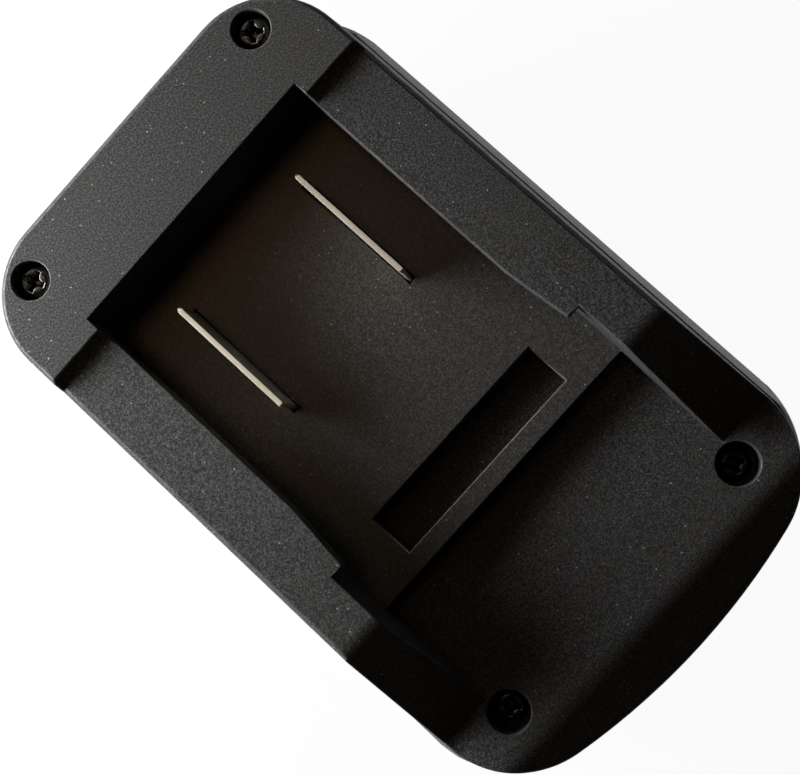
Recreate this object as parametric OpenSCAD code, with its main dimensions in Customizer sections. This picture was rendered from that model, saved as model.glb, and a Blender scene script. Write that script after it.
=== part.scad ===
// Slide-on battery adapter for cordless tools.
// The pocket on top takes a sliding battery pack, the rail head below slides into the tool,
// and a sprung latch at the front locks the adapter there.
// Z points up out of the pocket, the pack slides in along +Y, and the origin lies under the middle.

/* [Housing] */
// Length of the lower housing
housing_l = 118.4; // [115:0.2:124]
// Width of the lower housing across its shoulder
housing_w = 76; // [74:2:78]
// Height of the lower housing, from its underside to the seam
housing_h = 21; // [20:0.5:25]
// Plan radius of the housing's corners
housing_corner_r = 17.7; // [15:0.1:19]
// Plan radius of the bowed front end, shared by housing and cover
front_arc_r = 115.6; // [95:0.2:150]
// How far the housing's sides lean in towards the underside
housing_draft = 2.5; // [1.5:0.1:3]
// Wall of the housing's sides
housing_wall = 2.4; // [2:0.1:2.8]
// Plate that closes the housing's underside round the rail head
housing_floor_t = 2.5; // [2:0.1:3]
// Chamfer round the underside
housing_chamfer = 2; // [1:0.1:2.5]
// Height of the shoulder below the seam
shoulder_h = 3.2; // [2.4:0.1:4]
// How far the shoulder draws in at the seam at the corners and ends
shoulder_in = 1.1; // [0.6:0.1:1.4]

/* [Rail head] */
// Height of the rail head below the housing
head_h = 13; // [12:0.5:16]
// Length of the rail head
head_l = 76; // [72:0.5:80]
// Distance of the head's leading end from the housing's rear
head_setback = 8; // [6:0.5:10]
// Width across the head's sliding flanges
head_flange_w = 52; // [50:0.5:56]
// Thickness of the sliding flanges
head_flange_t = 5.5; // [4:0.1:6]
// Width of the neck between the flanges and the housing
head_neck_w = 43; // [42:0.5:45]
// Wall of the rail head
head_wall = 2.6; // [2.2:0.1:3]
// Lead-in chamfer on the head's leading corners
head_lead = 4; // [2:0.5:6]
// Small chamfer along the flange edges
head_edge = 1; // [0.4:0.1:1.5]

/* [Cover] */
// Height of the cover above the seam
cover_h = 21.4; // [20.8:0.2:24]
// How far the cover's sides lean in towards its top
cover_draft = 2.9; // [2:0.1:3.2]
// Wall of the cover's sides and top
cover_wall = 2.2; // [1.8:0.1:2.4]
// Plan radius of the cover's corners at the seam
cover_corner_r = 16.4; // [15:0.1:18]
// Step out from the cover to the housing at the sides
side_ledge = 1.6; // [1.4:0.1:2.2]
// Step out from the cover to the housing at the rear
rear_ledge = 0.1; // [0.1:0.1:0.8]
// Height of the tongue that locates the cover in the housing
tongue_h = 2; // [1.5:0.1:2.5]
// Thickness of that tongue
tongue_t = 1.2; // [1:0.1:1.5]
// Break on the cover's upper edges
edge_break = 0.6; // [0.3:0.1:0.9]
// Depth of the shadow groove at the seam
seam_groove = 0.4; // [0.2:0.1:0.6]

/* [Pocket] */
// Length of the rear cap, from its top rear edge to the pocket
cap_l = 16.2; // [15:0.1:18]
// Height of the cap above the rails
cap_rise = 2; // [1.2:0.1:2.2]
// How far the cap runs forward beside the pocket
cap_overrun = 2.2; // [1.5:0.1:3]
// Length of the slope from the cap to the rails
cap_slope_l = 1.6; // [1:0.1:2.5]
// Depth of the pocket below the rail tops
pocket_depth = 10.6; // [10:0.1:11]
// Width of the pocket under the lips
pocket_w = 52.4; // [51:0.1:53]
// Thickness of the pocket floor
pocket_floor_t = 2.4; // [2:0.1:2.6]
// Clear width between the lips
lip_gap = 45.8; // [45:0.1:47]
// Thickness of the lips
lip_t = 3.4; // [2.8:0.1:4]
// Length of the lips from the pocket's rear wall
lip_l = 52; // [50:0.1:54]
// Length of the lead-in flare at the lips' front
flare_l = 11; // [8:0.1:14]
// How far each lip draws back over its flare
flare_out = 1.1; // [0.6:0.1:1.8]
// Length of the pocket floor from its rear wall to the step
floor_l = 60.5; // [59:0.1:62]
// Drop from the pocket floor to the foot well
step_h = 3.8; // [3.2:0.1:4]
// Length of the rail tops from the pocket's rear wall
rail_l = 61.2; // [59:0.1:64]
// Length of the ramps down to the foot well
ramp_l = 19.3; // [17:0.1:21]
// Radius where a rail top rolls into its ramp
ramp_blend_r = 5; // [2:0.5:8]
// Length of the sloping apron at the front
apron_l = 10.6; // [9:0.1:11.6]
// Slope of the apron in degrees
apron_angle = 26; // [20:1:27]
// Radius where the foot well rolls into the apron
apron_blend_r = 8; // [4:0.5:12]
// Length of the slot for the battery's latch
slot_l = 34.8; // [32:0.1:38]
// Width of that slot
slot_w = 7.4; // [6:0.1:8]
// Distance of that slot from the pocket's rear wall
slot_setback = 49.9; // [48:0.1:51]

/* [Blades] */
// Distance between the blades
blade_pitch = 26.4; // [24:0.1:28]
// Length of a blade
blade_l = 22; // [20:0.1:23]
// Height of a blade above the pocket floor
blade_h = 8.7; // [8:0.1:9.5]
// Thickness of the blade sheet
blade_t = 0.8; // [0.6:0.05:1]
// Distance of the blades from the pocket's rear wall
blade_setback = 7.8; // [7:0.1:9]
// Bevel on the blade's corners and edges
blade_bevel = 0.5; // [0.3:0.1:1]
// How far a blade's foot reaches past its ends
blade_shoulder = 1.8; // [1.4:0.1:2.2]
// Height of a blade's foot under the floor
blade_foot_h = 2.5; // [2:0.1:3]
// Length of the solder tail below a blade
blade_tail_l = 8; // [6:0.1:10]
// Reach of the solder tail below the retainer
blade_tail_drop = 3.1; // [2.6:0.1:3.1]
// Thickness of the plate that traps the blades
retainer_t = 2.4; // [2:0.1:3]
// Spacing of that plate's two screws
retainer_screw_span = 38.6; // [37.5:0.1:40]

/* [Contacts] */
// Distance between the tool contacts
contact_pitch = 21; // [20:0.1:23]
// Width of the slots for the tool's blades
contact_slot_w = 3; // [2.6:0.1:3.4]
// Length of those slots along the head's face
contact_slot_l = 20; // [18:0.5:21]
// Height of those slots in the head's end wall
contact_slot_h = 11; // [10:0.1:11.4]
// Length of the contact block
block_l = 22; // [21:0.1:24]
// Height of the contact block
block_h = 10.9; // [10.5:0.1:12]
// Sheet thickness of the contact clips
clip_t = 0.5; // [0.4:0.05:0.6]
// Gap between a clip's leaves at their root
clip_gap = 2.2; // [1.8:0.1:2.6]
// Gap between a clip's leaves where they pinch
clip_pinch = 0.8; // [0.5:0.1:1]
// Height of a clip's leaves
clip_h = 7.8; // [7:0.1:8.2]
// Reach of a clip's solder tail above the block
clip_tail = 3.1; // [2.6:0.1:3.1]
// Radius of a lead's insulation
lead_r = 1.3; // [1:0.05:1.6]
// Radius of a lead's bare conductor
lead_core_r = 0.8; // [0.6:0.05:0.9]
// Length of bare conductor at each end
lead_strip = 3.2; // [3.1:0.1:3.4]
// Bend radius of the leads
lead_bend_r = 4; // [3.5:0.1:4.5]
// Slant of the leads between their bends, in degrees
lead_slant = 60; // [55:1:65]

/* [Latch] */
// Travel of the latch
latch_travel = 5; // [4:0.1:5.5]
// Width of the hook
hook_w = 16; // [12:0.5:20]
// Length of the hook along the rails
hook_l = 6.5; // [5.5:0.1:8]
// Reach of the hook below the housing
hook_reach = 4.3; // [3:0.1:4.8]
// Distance of the hook's catching face from the front
hook_setback = 18.6; // [17.8:0.1:19.8]
// Width of the thumb pad
thumb_w = 25; // [20:0.5:27]
// Height of the thumb pad
thumb_h = 8; // [7:0.1:8.4]
// Height of the thumb pad above the latch's base
thumb_lift = 0.8; // [0.6:0.1:1]
// Recess of the thumb pad behind the front end
thumb_recess = 0.5; // [0.3:0.1:1.5]
// Width of the plate that guides the latch
guide_w = 34; // [33:0.5:36]
// Height of that plate
guide_h = 15; // [14.8:0.1:15.2]
// Thickness of that plate
guide_t = 2.5; // [2:0.1:3]
// Distance of that plate's front face from the front
guide_setback = 7.6; // [7.4:0.1:8]
// Thickness of the arm that carries the hook
arm_t = 3.5; // [3:0.1:4]
// Width of that arm
arm_w = 26; // [25:0.5:28]
// Distance between the latch springs
spring_pitch = 18; // [17:0.5:18.5]
// Mean coil radius of a latch spring
spring_r = 2.85; // [2.7:0.05:3.1]
// Wire radius of a latch spring
spring_wire_r = 0.35; // [0.3:0.05:0.4]
// Turns of a latch spring
spring_turns = 8; // [6:1:9]

/* [Screws] */
// Spacing of the two rear screws
rear_screw_span = 49.2; // [48:0.1:50]
// Spacing of the two front screws
front_screw_span = 50.8; // [50:0.1:51.4]
// Distance of the front screws from the front end
front_screw_inset = 14.7; // [13.8:0.1:15.8]
// Distance of the rear screws from the cap's rear edge
rear_screw_inset = 5.7; // [5.5:0.1:6.5]
// Shank radius of the case screws
case_screw_r = 1.5; // [1.25:0.05:1.6]
// Head radius of the case screws
case_head_r = 2.7; // [2.4:0.05:2.8]
// Head height of the case screws
case_head_h = 1.9; // [1.5:0.1:2.2]
// Radius of the rear counterbores
rear_bore_r = 2.95; // [2.9:0.05:3.2]
// Depth of the rear counterbores
rear_bore_depth = 3.2; // [2.6:0.1:4]
// Radius of the deep front counterbores
front_bore_r = 3.35; // [3:0.05:3.6]
// Depth of the front counterbores
front_bore_depth = 7.5; // [6.8:0.1:8]
// Shank length of the rear screws
rear_screw_l = 28; // [26:0.5:29]
// Shank length of the front screws
front_screw_l = 9; // [7:0.5:10]
// Radius of the screw posts in the housing
post_r = 4; // [3.6:0.1:4.2]
// Shank radius of the small inner screws
small_screw_r = 1.25; // [1:0.05:1.4]
// Head radius of the small inner screws
small_head_r = 2.3; // [2:0.05:2.4]
// Head height of the small inner screws
small_head_h = 1.6; // [1.2:0.1:1.8]

/* [Fits] */
// Gap where the cover's tongue enters the housing
fit_gap = 0.15; // [0.1:0.05:0.25]
// Gap round the sliding latch
latch_gap = 0.4; // [0.3:0.05:0.6]
// Gap round pieces that sit in pockets and slits
seat_gap = 0.2; // [0.1:0.05:0.25]
// Gap between a screw and the plastic it cuts into
thread_gap = 0.03; // [0.02:0.01:0.05]
// Gap between a screw and the hole it passes through
pass_gap = 0.2; // [0.1:0.05:0.3]
// Gap between faces that rest on each other
rest_gap = 0.05; // [0.02:0.01:0.08]

/* [Hidden] */
$fn = 64;
// amount by which cuts run past the faces they open
over = 1;
// levels, from the head's face upwards
seam_z = head_h + housing_h;
top_z = seam_z + cover_h;
rail_z = top_z - cap_rise;
lip_under_z = rail_z - lip_t;
floor_z = rail_z - pocket_depth;
floor_under_z = floor_z - pocket_floor_t;
low_z = floor_z - step_h;
low_under_z = low_z - pocket_floor_t;
inner_floor_z = head_h + housing_floor_t;
// positions along the body, from the rear forwards
rear_y = housing_l / 2;
front_y = -housing_l / 2;
cover_rear_y = rear_y - rear_ledge;
cap_rear_y = cover_rear_y - cover_draft;
pocket_rear_y = cap_rear_y - cap_l;
cap_front_y = pocket_rear_y - cap_overrun;
rail_rear_y = cap_front_y - cap_slope_l;
lip_end_y = pocket_rear_y - lip_l;
flare_y = lip_end_y + flare_l;
step_y = pocket_rear_y - floor_l;
ramp_top_y = pocket_rear_y - rail_l;
ramp_end_y = ramp_top_y - ramp_l;
ramp_angle = atan2(rail_z - low_z, ramp_l);
apron_y = front_y + apron_l;
slot_front_y = pocket_rear_y - slot_setback - slot_w;
cover_half_w = housing_w / 2 - side_ledge;
// what is left level between the cover and the sloping flank of the housing's side
flank_rest = 0.2;
flank_in = side_ledge - flank_rest;
// case screws
rear_screw_x = rear_screw_span / 2;
front_screw_x = front_screw_span / 2;
rear_screw_y = cap_rear_y - rear_screw_inset;
front_screw_y = front_y + front_screw_inset;
rear_seat_z = top_z - rear_bore_depth;
front_seat_z = low_z - front_bore_depth;
front_boss_t = 1.5;
front_boss_z = front_seat_z - front_boss_t;
rear_boss_wall = 1;
front_boss_wall = 1.6;
rear_boss_r = rear_bore_r + rear_boss_wall;
front_boss_r = front_bore_r + front_boss_wall;
pilot_spare = 1;
tip_spare = 0.3;
rear_screw_turn = 20;
front_screw_turn = 35;
// blades and their retainer
blade_x = blade_pitch / 2;
blade_mid_y = pocket_rear_y - blade_setback - blade_l / 2;
blade_top_z = floor_z + blade_h;
retainer_top_z = floor_under_z - blade_foot_h;
retainer_z = retainer_top_z - retainer_t;
retainer_rim = 3.7;
retainer_w = retainer_screw_span + 2 * retainer_rim;
retainer_margin = 1.9;
retainer_l = blade_l + 2 * (blade_shoulder + retainer_margin);
tail_end_z = retainer_z - blade_tail_drop;
retainer_boss_r = 3;
retainer_bite = 3.8;
// rail head and contacts
head_rear_y = rear_y - head_setback;
head_front_y = head_rear_y - head_l;
head_in_w = head_neck_w - 2 * head_wall;
head_in_rear_y = head_rear_y - head_wall;
contact_x = contact_pitch / 2;
block_front_y = head_in_rear_y - seat_gap - block_l;
block_top_z = head_wall + block_h;
block_post_h = 3.4;
block_post_z = head_wall + block_post_h;
block_web_t = 2.5;
block_post_r = 3;
block_screw_inset = 5;
block_screw_ys = [block_front_y + block_screw_inset, block_front_y + block_l - block_screw_inset];
block_screw_l = 6.8;
clip_inset = 3;
clip_back_y = block_front_y + clip_inset;
clip_lift = 0.6;
clip_z = head_wall + clip_lift;
clip_tail_top_z = block_top_z + clip_tail;
// leads
lead_top = [blade_x - blade_t / 2 - lead_core_r - rest_gap, blade_mid_y, retainer_z - seat_gap];
lead_end = [contact_x, clip_back_y - lead_core_r - rest_gap, block_top_z + seat_gap];
lead_turn = atan2(lead_end[1] - lead_top[1], lead_end[0] - lead_top[0]);
lead_side = norm([lead_end[0] - lead_top[0], lead_end[1] - lead_top[1]]);
lead_drop = lead_top[2] - lead_end[2] - 2 * lead_strip;
lead_steps = 6;
lead_sides = 10;
// latch
latch_z = inner_floor_z + rest_gap;
arm_top_z = latch_z + arm_t;
guide_front_y = front_y + guide_setback;
guide_rear_y = guide_front_y + guide_t;
hook_front_y = front_y + hook_setback;
hook_rear_y = hook_front_y + hook_l;
thumb_z = latch_z + thumb_lift;
window_low = thumb_z - latch_gap;
window_high = thumb_z + thumb_h + latch_travel + latch_gap;
channel_t = 2.4;
channel_grip = 2.2;
spring_x = spring_pitch / 2;
spring_y = (guide_rear_y + hook_front_y) / 2;
spring_spigot_gap = 0.5;
spring_spigot_r = spring_r - spring_wire_r - spring_spigot_gap;
spring_spigot_h = 3;
spring_z0 = arm_top_z + spring_wire_r + rest_gap;
spring_l = low_under_z - spring_wire_r - rest_gap - spring_z0;
spring_sides = 6;
spring_rings = 8;

// how far the cover's side has drawn in at height z
function cover_inset(z) = cover_draft * (z - seam_z) / cover_h;

// how far the housing's inner wall stands in from the shoulder at height z
function housing_inner_inset(z) =
    let (low = housing_draft + housing_wall, high = housing_wall + shoulder_in)
    low + (high - low) * (z - inner_floor_z) / (seam_z - inner_floor_z);

// points of an arc that leaves the level line through [y, z] and bends down towards the front
function roll_off(y, z, r, angle, steps) =
    [for (i = [0:steps]) [y - r * sin(angle * i / steps), z - r * (1 - cos(angle * i / steps))]];

// triangles of a closed tube whose points run ring by ring
function tube_faces(count, sides) = concat(
    [for (i = [0:count - 1]) for (k = [0:sides - 1])
        let (p = i * sides + k, q = i * sides + (k + 1) % sides)
            each [[p, q, p + sides], [q, q + sides, p + sides]]],
    [for (k = [1:sides - 2]) let (last = count * sides)
        each [[0, k + 1, k], [last, last + k, last + k + 1]]]);

// body of rounded plan with a bowed front, whose sides lean from one inset to another
module leaning_slab(half_w, corner_r, y1, y0, arc_r, z0, z1, inset0, inset1) {
    cx = half_w - corner_r;
    rear_cy = y1 - corner_r;
    arc_cy = y0 + arc_r;
    front_cy = arc_cy - sqrt(pow(arc_r - corner_r, 2) - cx * cx);
    fan = 1.4;
    for (sx = [-1, 1], cy = [rear_cy, front_cy])
        translate([sx * cx, cy, z0])
            cylinder(h = z1 - z0, r1 = corner_r - inset0, r2 = corner_r - inset1);
    translate([0, rear_cy, 0])
        rotate([90, 0, 0])
            linear_extrude(rear_cy - front_cy)
                polygon([[-half_w + inset0, z0], [half_w - inset0, z0],
                    [half_w - inset1, z1], [-half_w + inset1, z1]]);
    translate([-cx, 0, 0])
        rotate([90, 0, 90])
            linear_extrude(2 * cx)
                polygon([[front_cy, z0], [y1 - inset0, z0], [y1 - inset1, z1], [front_cy, z1]]);
    intersection() {
        translate([0, arc_cy, z0])
            cylinder(h = z1 - z0, r1 = arc_r - inset0, r2 = arc_r - inset1, $fn = 256);
        translate([0, 0, z0])
            linear_extrude(z1 - z0)
                polygon([[-cx, front_cy], [cx, front_cy],
                    [cx * fan, arc_cy - (arc_cy - front_cy) * fan],
                    [-cx * fan, arc_cy - (arc_cy - front_cy) * fan]]);
    }
}

module cover_slab(z0, z1, inset0, inset1) {
    leaning_slab(cover_half_w, cover_corner_r, cover_rear_y, front_y, front_arc_r, z0, z1, inset0, inset1);
}

module housing_slab(z0, z1, inset0, inset1) {
    leaning_slab(housing_w / 2, housing_corner_r, rear_y, front_y, front_arc_r, z0, z1, inset0, inset1);
}

// solid under the cover's side view: cap, slope, rails, ramps, foot well and apron
module cover_side_view() {
    blend = ramp_blend_r * tan(ramp_angle / 2);
    ramp_roll = roll_off(ramp_top_y + blend, rail_z, ramp_blend_r, ramp_angle, 6);
    apron_roll = roll_off(apron_y, low_z, apron_blend_r, apron_angle, 6);
    apron_foot = apron_roll[6];
    end_y = front_y - over;
    end_z = apron_foot[1] - (apron_foot[0] - end_y) * tan(apron_angle);
    translate([-housing_w / 2, 0, 0])
        rotate([90, 0, 90])
            linear_extrude(housing_w)
                polygon(concat([[rear_y + over, seam_z - 2 * tongue_h], [rear_y + over, top_z],
                    [cap_front_y, top_z], [rail_rear_y, rail_z]], ramp_roll, [[ramp_end_y, low_z]],
                    apron_roll, [[end_y, end_z], [end_y, seam_z - 2 * tongue_h]]));
}

// strip that breaks the outer edge of a rail top
module rail_edge_cut() {
    x = cover_half_w - cover_inset(rail_z);
    translate([0, rail_rear_y, 0])
        rotate([90, 0, 0])
            linear_extrude(rail_rear_y - ramp_top_y)
                polygon([[x - edge_break, rail_z], [x + over, rail_z - edge_break - over],
                    [x + over, rail_z + over], [x - edge_break, rail_z + over]]);
}

module cover_form() {
    edge_z = top_z - edge_break;
    difference() {
        intersection() {
            union() {
                cover_slab(seam_z, seam_z + seam_groove, seam_groove, cover_inset(seam_z + seam_groove));
                cover_slab(seam_z + seam_groove, edge_z,
                    cover_inset(seam_z + seam_groove), cover_inset(edge_z));
                cover_slab(edge_z, top_z, cover_inset(edge_z), cover_inset(edge_z) + edge_break);
            }
            cover_side_view();
        }
        for (sx = [0, 1])
            mirror([sx, 0, 0])
                rail_edge_cut();
    }
}

// space inside the cover, before the pocket's own walls are put back
module cover_cavity() {
    roof_z = top_z - cover_wall;
    intersection() {
        cover_slab(seam_z - over, roof_z, cover_wall + cover_inset(seam_z - over),
            cover_wall + cover_inset(roof_z));
        translate([0, 0, -pocket_floor_t])
            cover_side_view();
    }
}

// block that holds the pocket, its floor, the foot well and the latch slot with their walls
module pocket_walls() {
    half = pocket_w / 2 + cover_wall;
    translate([-half, step_y - cover_wall, floor_under_z])
        cube([2 * half, pocket_rear_y + cover_wall - step_y + cover_wall, top_z]);
    translate([-half, front_y - over, low_under_z])
        cube([2 * half, step_y - front_y + over, top_z]);
    translate([-slot_l / 2 - cover_wall, slot_front_y - cover_wall, low_under_z])
        cube([slot_l + 2 * cover_wall, slot_w + 2 * cover_wall, top_z]);
}

// everything cut away for the battery pack
module pocket_space() {
    half = pocket_w / 2;
    mouth = lip_gap / 2 + flare_out;
    translate([-half, step_y - over, floor_z])
        cube([2 * half, pocket_rear_y - step_y + over, lip_under_z - floor_z]);
    translate([0, 0, floor_z])
        linear_extrude(top_z)
            polygon([[-lip_gap / 2, pocket_rear_y], [-lip_gap / 2, flare_y], [-mouth, lip_end_y],
                [-half, lip_end_y], [-half, step_y - over], [half, step_y - over], [half, lip_end_y],
                [mouth, lip_end_y], [lip_gap / 2, flare_y], [lip_gap / 2, pocket_rear_y]]);
    translate([-half, ramp_end_y - over, low_z])
        cube([2 * half, step_y - ramp_end_y + over, top_z]);
    translate([-slot_l / 2, slot_front_y, low_z])
        cube([slot_l, slot_w, top_z]);
}

// ring that hangs below the seam and locates the cover inside the housing
module cover_tongue() {
    z0 = seam_z - tongue_h;
    bridge_z = seam_z + cover_wall;
    in0 = housing_inner_inset(z0) + fit_gap;
    in1 = housing_inner_inset(seam_z) + fit_gap;
    difference() {
        union() {
            housing_slab(z0, seam_z, in0, in1);
            intersection() {
                cover_slab(seam_z, bridge_z, cover_wall / 2, cover_wall / 2);
                cover_side_view();
            }
        }
        housing_slab(z0 - over, bridge_z + over, in0 + tongue_t, in0 + tongue_t);
        for (sx = [-1, 1], at = [[rear_screw_x, rear_screw_y], [front_screw_x, front_screw_y]])
            translate([sx * at[0], at[1], z0 - over])
                cylinder(h = tongue_h + over, r = post_r + latch_gap);
    }
}

module cover_bosses() {
    for (sx = [-1, 1]) {
        translate([sx * rear_screw_x, rear_screw_y, seam_z])
            cylinder(h = cover_h - cover_wall + rest_gap, r = rear_boss_r);
        translate([sx * front_screw_x, front_screw_y, front_boss_z])
            cylinder(h = low_under_z - front_boss_z + over, r = front_boss_r);
        translate([sx * retainer_screw_span / 2, blade_mid_y, retainer_top_z])
            cylinder(h = blade_foot_h + over, r = retainer_boss_r);
        translate([sx * spring_x, spring_y, low_under_z - spring_spigot_h])
            cylinder(h = spring_spigot_h + over, r = spring_spigot_r);
    }
}

module battery_cover() {
    slit_w = blade_t + 2 * seat_gap;
    slit_l = blade_l + 2 * seat_gap;
    color([0.13, 0.13, 0.14])
        difference() {
            union() {
                difference() {
                    cover_form();
                    difference() {
                        cover_cavity();
                        pocket_walls();
                    }
                }
                cover_tongue();
                cover_bosses();
            }
            pocket_space();
            for (sx = [-1, 1]) {
                translate([sx * rear_screw_x, rear_screw_y, rear_seat_z])
                    cylinder(h = rear_bore_depth + over, r = rear_bore_r);
                translate([sx * rear_screw_x, rear_screw_y, seam_z - over])
                    cylinder(h = cover_h, r = case_screw_r + pass_gap);
                translate([sx * front_screw_x, front_screw_y, front_seat_z])
                    cylinder(h = front_bore_depth + over, r = front_bore_r);
                translate([sx * front_screw_x, front_screw_y, front_boss_z - over])
                    cylinder(h = front_boss_t + 2 * over, r = case_screw_r + pass_gap);
                translate([sx * blade_x - slit_w / 2, blade_mid_y - slit_l / 2, floor_under_z - over])
                    cube([slit_w, slit_l, pocket_floor_t + 2 * over]);
                translate([sx * retainer_screw_span / 2, blade_mid_y, retainer_top_z - over])
                    cylinder(h = retainer_bite + over, r = small_screw_r + thread_gap);
            }
        }
}

// T-shaped rail head that slides into the tool
module head_form() {
    flange = head_flange_w / 2;
    neck = head_neck_w / 2;
    lap = over;
    intersection() {
        translate([0, head_rear_y, 0])
            rotate([90, 0, 0])
                linear_extrude(head_l)
                    polygon([[-flange + head_edge, 0], [flange - head_edge, 0], [flange, head_edge],
                        [flange, head_flange_t - head_edge], [flange - head_edge, head_flange_t],
                        [neck, head_flange_t], [neck, head_h + lap], [-neck, head_h + lap],
                        [-neck, head_flange_t], [-flange + head_edge, head_flange_t],
                        [-flange, head_flange_t - head_edge], [-flange, head_edge]]);
        linear_extrude(head_h + lap)
            polygon([[-flange, head_front_y], [flange, head_front_y], [flange, head_rear_y - head_lead],
                [flange - head_lead, head_rear_y], [-flange + head_lead, head_rear_y],
                [-flange, head_rear_y - head_lead]]);
    }
}

// wedge cut away along one side, so that the shoulder slopes there from the cover to the full width
module flank_cut() {
    x = housing_w / 2;
    run = flank_in / shoulder_h;
    translate([0, rear_y + over, 0])
        rotate([90, 0, 0])
            linear_extrude(housing_l + 2 * over)
                polygon([[x - flank_in - over * run, seam_z + over],
                    [x + over * run, seam_z - shoulder_h - over],
                    [x + over, seam_z - shoulder_h - over], [x + over, seam_z + over]]);
}

module housing_form() {
    chamfer_z = head_h + housing_chamfer;
    round_z = seam_z - shoulder_h;
    crown_z = seam_z - shoulder_h / 4;
    crown_in = 0.35 * shoulder_in;
    difference() {
        union() {
            housing_slab(head_h, chamfer_z, housing_draft + housing_chamfer, housing_draft);
            housing_slab(chamfer_z, round_z, housing_draft, 0);
            housing_slab(round_z, crown_z, 0, crown_in);
            housing_slab(crown_z, seam_z, crown_in, shoulder_in);
        }
        for (sx = [0, 1])
            mirror([sx, 0, 0])
                flank_cut();
    }
    head_form();
}

module housing_space() {
    housing_slab(inner_floor_z, seam_z + over, housing_inner_inset(inner_floor_z),
        housing_inner_inset(seam_z + over));
    translate([-head_in_w / 2, head_front_y + head_wall, head_wall])
        cube([head_in_w, head_l - 2 * head_wall, head_h]);
}

// channel that guides one edge of the latch plate
module latch_channel() {
    groove = guide_t + 2 * latch_gap;
    x0 = guide_w / 2 - channel_grip;
    difference() {
        translate([x0, guide_front_y - latch_gap - channel_t, inner_floor_z - over])
            cube([channel_grip + latch_gap + channel_t, groove + 2 * channel_t, guide_h + over]);
        translate([x0 - over, guide_front_y - latch_gap, inner_floor_z])
            cube([channel_grip + latch_gap + over, groove, guide_h + over]);
    }
}

module housing_posts() {
    for (sx = [0, 1])
        mirror([sx, 0, 0]) {
            translate([front_screw_x, front_screw_y, inner_floor_z - over])
                cylinder(h = front_boss_z - rest_gap - inner_floor_z + over, r = post_r);
            translate([rear_screw_x, rear_screw_y, inner_floor_z - over])
                cylinder(h = seam_z - inner_floor_z + over, r = post_r);
            latch_channel();
        }
    for (y = block_screw_ys)
        translate([0, y, head_wall - over])
            cylinder(h = block_post_z - head_wall + over, r = block_post_r);
}

module tool_housing() {
    rear_tip_z = rear_seat_z - rear_screw_l - pilot_spare;
    front_tip_z = front_seat_z - front_screw_l - pilot_spare;
    block_tip_z = block_post_z + block_web_t - block_screw_l - tip_spare;
    color([0.16, 0.16, 0.17])
        difference() {
            union() {
                difference() {
                    housing_form();
                    housing_space();
                }
                housing_posts();
            }
            for (sx = [-1, 1]) {
                translate([sx * rear_screw_x, rear_screw_y, rear_tip_z])
                    cylinder(h = seam_z - rear_tip_z + over, r = case_screw_r + thread_gap);
                translate([sx * front_screw_x, front_screw_y, front_tip_z])
                    cylinder(h = front_boss_z - front_tip_z + over, r = case_screw_r + thread_gap);
                translate([sx * contact_x - contact_slot_w / 2, head_rear_y - contact_slot_l, -over])
                    cube([contact_slot_w, contact_slot_l + over, contact_slot_h + over]);
            }
            for (y = block_screw_ys)
                translate([0, y, block_tip_z])
                    cylinder(h = block_post_z, r = small_screw_r + thread_gap);
            translate([-hook_w / 2 - latch_gap, hook_front_y - latch_gap, head_h - over])
                cube([hook_w + 2 * latch_gap, hook_l + 2 * latch_gap, housing_floor_t + 2 * over]);
            translate([-thumb_w / 2 - latch_gap, front_y - over, window_low])
                cube([thumb_w + 2 * latch_gap, guide_setback + over, window_high - window_low]);
        }
}

// cross-recess screw whose head seats at z = 0 and whose shank points down
module screw(shank_r, shank_l, head_r, head_h) {
    dome_r = 2.2 * head_r;
    dome_z = head_h - dome_r;
    tip_h = shank_r;
    recess_w = 0.36 * head_r;
    recess_l = 1.4 * head_r;
    recess_d = 0.6 * head_h;
    difference() {
        union() {
            intersection() {
                cylinder(h = head_h, r = head_r);
                translate([0, 0, dome_z])
                    sphere(r = dome_r, $fn = 96);
            }
            translate([0, 0, tip_h - shank_l])
                cylinder(h = shank_l - tip_h, r = shank_r);
            translate([0, 0, -shank_l])
                cylinder(h = tip_h, r1 = shank_r / 4, r2 = shank_r);
        }
        for (turn = [0, 90])
            rotate([0, 0, turn])
                translate([-recess_l / 2, -recess_w / 2, head_h - recess_d])
                    cube([recess_l, recess_w, recess_d + over]);
    }
}

module rear_case_screws() {
    color([0.08, 0.08, 0.08])
        for (sx = [-1, 1])
            translate([sx * rear_screw_x, rear_screw_y, rear_seat_z])
                rotate([0, 0, rear_screw_turn])
                    screw(case_screw_r, rear_screw_l, case_head_r, case_head_h);
}

module front_case_screws() {
    color([0.08, 0.08, 0.08])
        for (sx = [-1, 1])
            translate([sx * front_screw_x, front_screw_y, front_seat_z])
                rotate([0, 0, front_screw_turn])
                    screw(case_screw_r, front_screw_l, case_head_r, case_head_h);
}

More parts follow.
